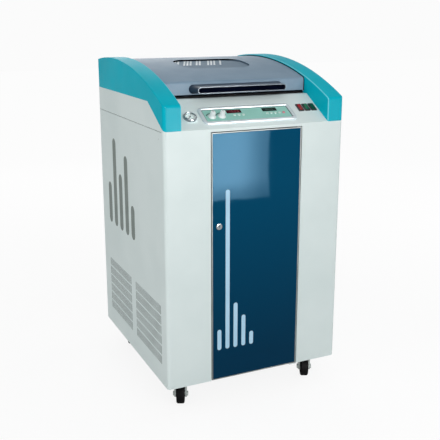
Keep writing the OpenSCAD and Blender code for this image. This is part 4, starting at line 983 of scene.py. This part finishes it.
knobLook = {
    "flutes": 14, "fluteDepth": 0.45, "steps": 84, "sharp": 40,
    # radius, height above the film and share of the flutes
    "profile": [
        (3.2, 0.3, 0), (10.6, 0.3, 0), (11.0, 0.7, 0), (11.0, 1.9, 0), (10.7, 2.5, 0), (9.4, 3.4, 0),
        (8.7, 4.2, 0.3), (8.4, 5.0, 1.0), (7.6, 10.0, 1.0), (6.9, 15.6, 1.0), (6.7, 17.0, 0.6),
        (6.2, 17.9, 0.2), (5.2, 18.3, 0),
    ],
    "pointer": {
        "length": 5.6, "width": 1.3, "thickness": 0.3, "edge": 0.1, "back": 0.6, "sunk": 0.05, "steps": 6,
        "straight": 0.005,
    },
    "markRise": 0.04,
    "scale": {"count": 11, "radius": 13.2, "length": 1.8, "width": 0.45, "thickness": 0.1},
    "arc": {
        "count": 41, "radius": 15.6, "length": 2.4, "width": 1.2, "thickness": 0.1, "sweep": (155, -130),
    },
}


def makeKnob(node, joint, look):
    x, v = deckPlaceOf(joint)
    place = onDeck(x, v, panelTop)
    rings = []
    for radius, height, share in look["profile"]:
        ring = []
        for step in range(look["steps"]):
            angle = 2 * math.pi * step / look["steps"]
            dip = look["fluteDepth"] * share * (0.5 - 0.5 * math.cos(angle * look["flutes"]))
            reach = (radius - dip) * mm
            ring.append(place @ Vector((reach * math.cos(angle), reach * math.sin(angle), height * mm)))
        rings.append(ring)
    addShape(node + "Cap", loft(rings), "whiteMoulding", node, standsFor=True, sharp=look["sharp"])

    own = look["pointer"]
    wide, long = own["width"] * mm, own["length"] * mm
    radius = wide / 2 - own["straight"] * mm
    mark = roundedPlate(wide, long, radius, own["steps"], own["thickness"] * mm, own["edge"] * mm)
    top = (look["profile"][-1][1] - own["sunk"]) * mm
    spot = place @ Matrix.Translation((0, long / 2 - own["back"] * mm, top))
    addShape(node + "Pointer", mark, "darkInk", node, place=spot)

    above = onDeck(x, v, panelTop + look["markRise"] * mm)
    addGrown("ticks", node + "Scale", "whiteInk", markSizes(look["scale"]), "control_panel", place=above)
    addGrown("ticks", node + "Arc", "darkInk", markSizes(look["arc"]), "switch_frames", place=above)


# Display windows, with figures made of seven strokes
displayLook = {
    "width": 46.0, "height": 15.0, "rise": 0.7, "edge": 0.25, "sunk": 0.1, "corner": 1.2, "cornerLost": 0.5,
    "steps": 5, "v": 69.5,
    "red": {"x": -47.0, "figures": "1500", "tall": 9.0, "wide": 5.0, "pitch": 8.6},
    "green": {"x": 66.0, "figures": "0045", "tall": 6.4, "wide": 3.6, "pitch": 6.4},
    # the strokes' width, the share of it left between them, their round share, thickness, edge and steps
    "stroke": 1.0, "gapShare": 0.12, "roundShare": 0.4, "thickness": 0.12, "strokeEdge": 0.03,
    "strokeSteps": 3,
}
strokesOf = {"0": "abcdef", "1": "bc", "4": "bcfg", "5": "acdfg"}


def makeFigures(own, look):
    stroke = look["stroke"]
    gap = look["gapShare"] * stroke
    half = own["tall"] / 2
    level = (own["wide"] - stroke - gap, stroke)
    upright = (stroke, half - stroke / 2 - gap)
    side = own["wide"] / 2 - stroke / 2
    strokes = {
        "a": (0, half - stroke / 2, *level), "g": (0, 0, *level), "d": (0, -half + stroke / 2, *level),
        "f": (-side, half / 2, *upright), "b": (side, half / 2, *upright),
        "e": (-side, -half / 2, *upright), "c": (side, -half / 2, *upright),
    }
    target = bmesh.new()
    for index, figure in enumerate(own["figures"]):
        start = (index - (len(own["figures"]) - 1) / 2) * own["pitch"]
        for letter in strokesOf[figure]:
            x, y, wide, tall = (value * mm for value in strokes[letter])
            bar = roundedPlate(
                wide, tall, min(wide, tall) * look["roundShare"], look["strokeSteps"], look["thickness"] * mm,
                look["strokeEdge"] * mm, 2 * look["roundShare"])
            joinInto(target, bar, Matrix.Translation((start * mm + x, y, 0)))
    return target


def makeDisplay(colour, look):
    own = look[colour]

    def above(height):
        return onDeck(own["x"] * mm, look["v"] * mm, panelTop + (height - look["sunk"]) * mm)
    wide, tall, rise = look["width"] * mm, look["height"] * mm, look["rise"] * mm
    window = roundedPlate(
        wide, tall, look["corner"] * mm, look["steps"], rise, look["edge"] * mm, look["cornerLost"])
    finishName = "display" + colour.capitalize()
    addShape(colour + "Window", window, finishName, "display_windows", standsFor=True, place=above(0))
    figures = makeFigures(own, look)
    addShape(colour + "Figures", figures, colour + "Glow", "display_windows", place=above(look["rise"]))


lensLook = {
    "x": 106.0, "v": 52.0, "radius": 4.4, "rise": 2.6, "steps": 32, "rows": 8, "crown": 88, "sharp": 60,
}


def makeLens(look):
    place = onDeck(look["x"] * mm, look["v"] * mm, panelTop)
    rings = []
    for row in range(look["rows"]):
        angle = math.radians(look["crown"] * row / (look["rows"] - 1))
        height = look["rise"] * math.sin(angle) * mm
        outline = circle(look["radius"] * math.cos(angle) * mm, look["steps"])
        rings.append([place @ Vector((x, y, height)) for x, y in outline])
    addShape(
        "indicatorLens", loft(rings), "pinkLens", "display_windows", True, look["sharp"])


# Vacuum gauge
dialLook = {
    "floor": 2.0, "radius": 15.8, "steps": 64, "thickness": 0.15, "edge": 0.05, "markRise": 0.03,
    "long": {"count": 11, "radius": 12.9, "length": 3.0, "width": 0.7, "thickness": 0.06},
    "short": {"count": 51, "radius": 13.7, "length": 1.5, "width": 0.3, "thickness": 0.06},
    "figures": range(0, 11, 2), "lastFigure": 10, "figureRadius": 9.2, "figureSize": 3.0,
    "lensSag": 1.2, "lensLow": 5.8, "lensFoot": 4.9, "lensOver": 0.1, "lensSharp": 50,
    "lensShares": (1.0, 0.97, 0.88, 0.72, 0.5, 0.25, 0.04),
}
gaugeDress = {"gauge_case": ("gaugeChrome", 0.5, 3), "gauge_needle": ("darkInk", 0.1, 1)}


def figureMesh(text, size):
    curve = bpy.data.curves.new("figure", "FONT")
    curve.body = text
    curve.size = size
    curve.align_x = "CENTER"
    curve.align_y = "CENTER"
    holder = addObject("figure", curve)
    mesh = bpy.data.meshes.new_from_object(holder.evaluated_get(bpy.context.evaluated_depsgraph_get()))
    bpy.data.objects.remove(holder)
    return mesh


def makeGauge(look):
    x, v = deckPlaceOf("needle_swing")
    dress("gauge_case", *gaugeDress["gauge_case"])

    def circleAt(inset):
        return circle(look["radius"] * mm - inset, look["steps"])
    dial = plate(circleAt, look["thickness"] * mm, look["edge"] * mm)
    addShape("gaugeDial", dial, "dialPaper", "control_bezel", place=onDeck(x, v, look["floor"] * mm))
    above = onDeck(x, v, (look["floor"] + look["thickness"] + look["markRise"]) * mm)
    for length in ("long", "short"):
        name = "gauge" + length.capitalize() + "Ticks"
        ticks = grow("ticks", name, "darkInk", markSizes(look[length]), place=above)
        addPiece(ticks.name, ticks, "darkInk", bodyOf["switch_frames"])
    figures = bmesh.new()
    start, sweep = markSweep
    for figure in look["figures"]:
        mesh = figureMesh(str(figure), look["figureSize"] * mm)
        angle = math.radians(start + sweep * figure / look["lastFigure"])
        spot = Vector((math.cos(angle), math.sin(angle), 0)) * look["figureRadius"] * mm
        mesh.transform(above @ Matrix.Translation(spot))
        figures.from_mesh(mesh)
    addShape("gaugeFigures", figures, "darkInk", "switch_frames")
    dress("gauge_needle", *gaugeDress["gauge_needle"])
    rows = [(1.0, look["lensFoot"])]
    rows += [(share, look["lensLow"] + look["lensSag"] * (1 - share * share)) for share in look["lensShares"]]
    rim = circleAt(-look["lensOver"] * mm)
    rings = [
        [onDeck(x, v, height * mm) @ Vector((px * share, py * share, 0)) for px, py in rim]
        for share, height in rows]
    addShape("gaugeGlass", loft(rings), "clearPane", "gauge_lens", standsFor=True, sharp=look["lensSharp"])


keyDress = ("keyMoulding", 0.35, 2)
switchDress = {
    "switch_frames": ("blackMoulding", 0.5, 2), "power_rocker": ("redLens", 0.6, 2),
    "pump_rocker": ("greenLens", 0.6, 2), "lamp_rocker": ("darkGreenLens", 0.6, 2),
}

makeBezel(bezelLook)
for knob in ("speed", "timer"):
    makeKnob(knob + "_knob", knob + "_turn", knobLook)
for index in range(1, 8):
    dress("key_%d" % index, *keyDress)
for colour in ("red", "green"):
    makeDisplay(colour, displayLook)
makeLens(lensLook)
makeGauge(dialLook)
for node, look in switchDress.items():
    dress(node, *look)
print("control deck dressed")


# Casters

forkDress = ("casterSteel", 0.5, 2)
wheelDress = ("rubber", 0.6, 2)
for corner in ("fl", "fr", "rl", "rr"):
    dress("caster_fork_" + corner, *forkDress)
    dress("caster_wheel_" + corner, *wheelDress)

# Screws
rearScrews = {
    "finish": "zincSteel", "inset": 14.0, "sharp": 35,
    "head": {"Head radius": 3.4, "Head height": 1.6, "Recess width": 0.9},
}
sideScrews = {
    "finish": "screwShade", "inset": 22.0, "down": 20.0, "sharp": 35,
    # too shallow for the cut, which leaves an upright bar of each head
    "head": {"Head radius": 3.4, "Head height": 0.03, "Recess width": 0.9},
}


def makeScrews(name, points, turn, look):
    sizes = {label: value * mm for label, value in look["head"].items()}
    mesh = grow("screws", name, look["finish"], {**sizes, "Turn": turn}, points)
    smooth(mesh, look["sharp"])
    addPiece(name, mesh, look["finish"], "cabinet")


for side, sign in sides:
    node = side + "_side_panel"
    low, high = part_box(node)
    inset = sideScrews["inset"] * mm
    top = high.z - sideScrews["down"] * mm
    points = [(faceAcross(node, sign), y, top) for y in (low.y + inset, high.y - inset)]
    makeScrews(side + "Screws", points, (0.0, sign * math.pi / 2, 0.0), sideScrews)

low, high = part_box("rear_panel")
inset = rearScrews["inset"] * mm
rows = (low.z + inset, (low.z + high.z) / 2, high.z - inset)
points = [(x, high.y, z) for z in rows for x in (low.x + inset, 0.0, high.x - inset)]
makeScrews("rearScrews", points, (-math.pi / 2, 0.0, 0.0), rearScrews)
print("casters and screws ready")
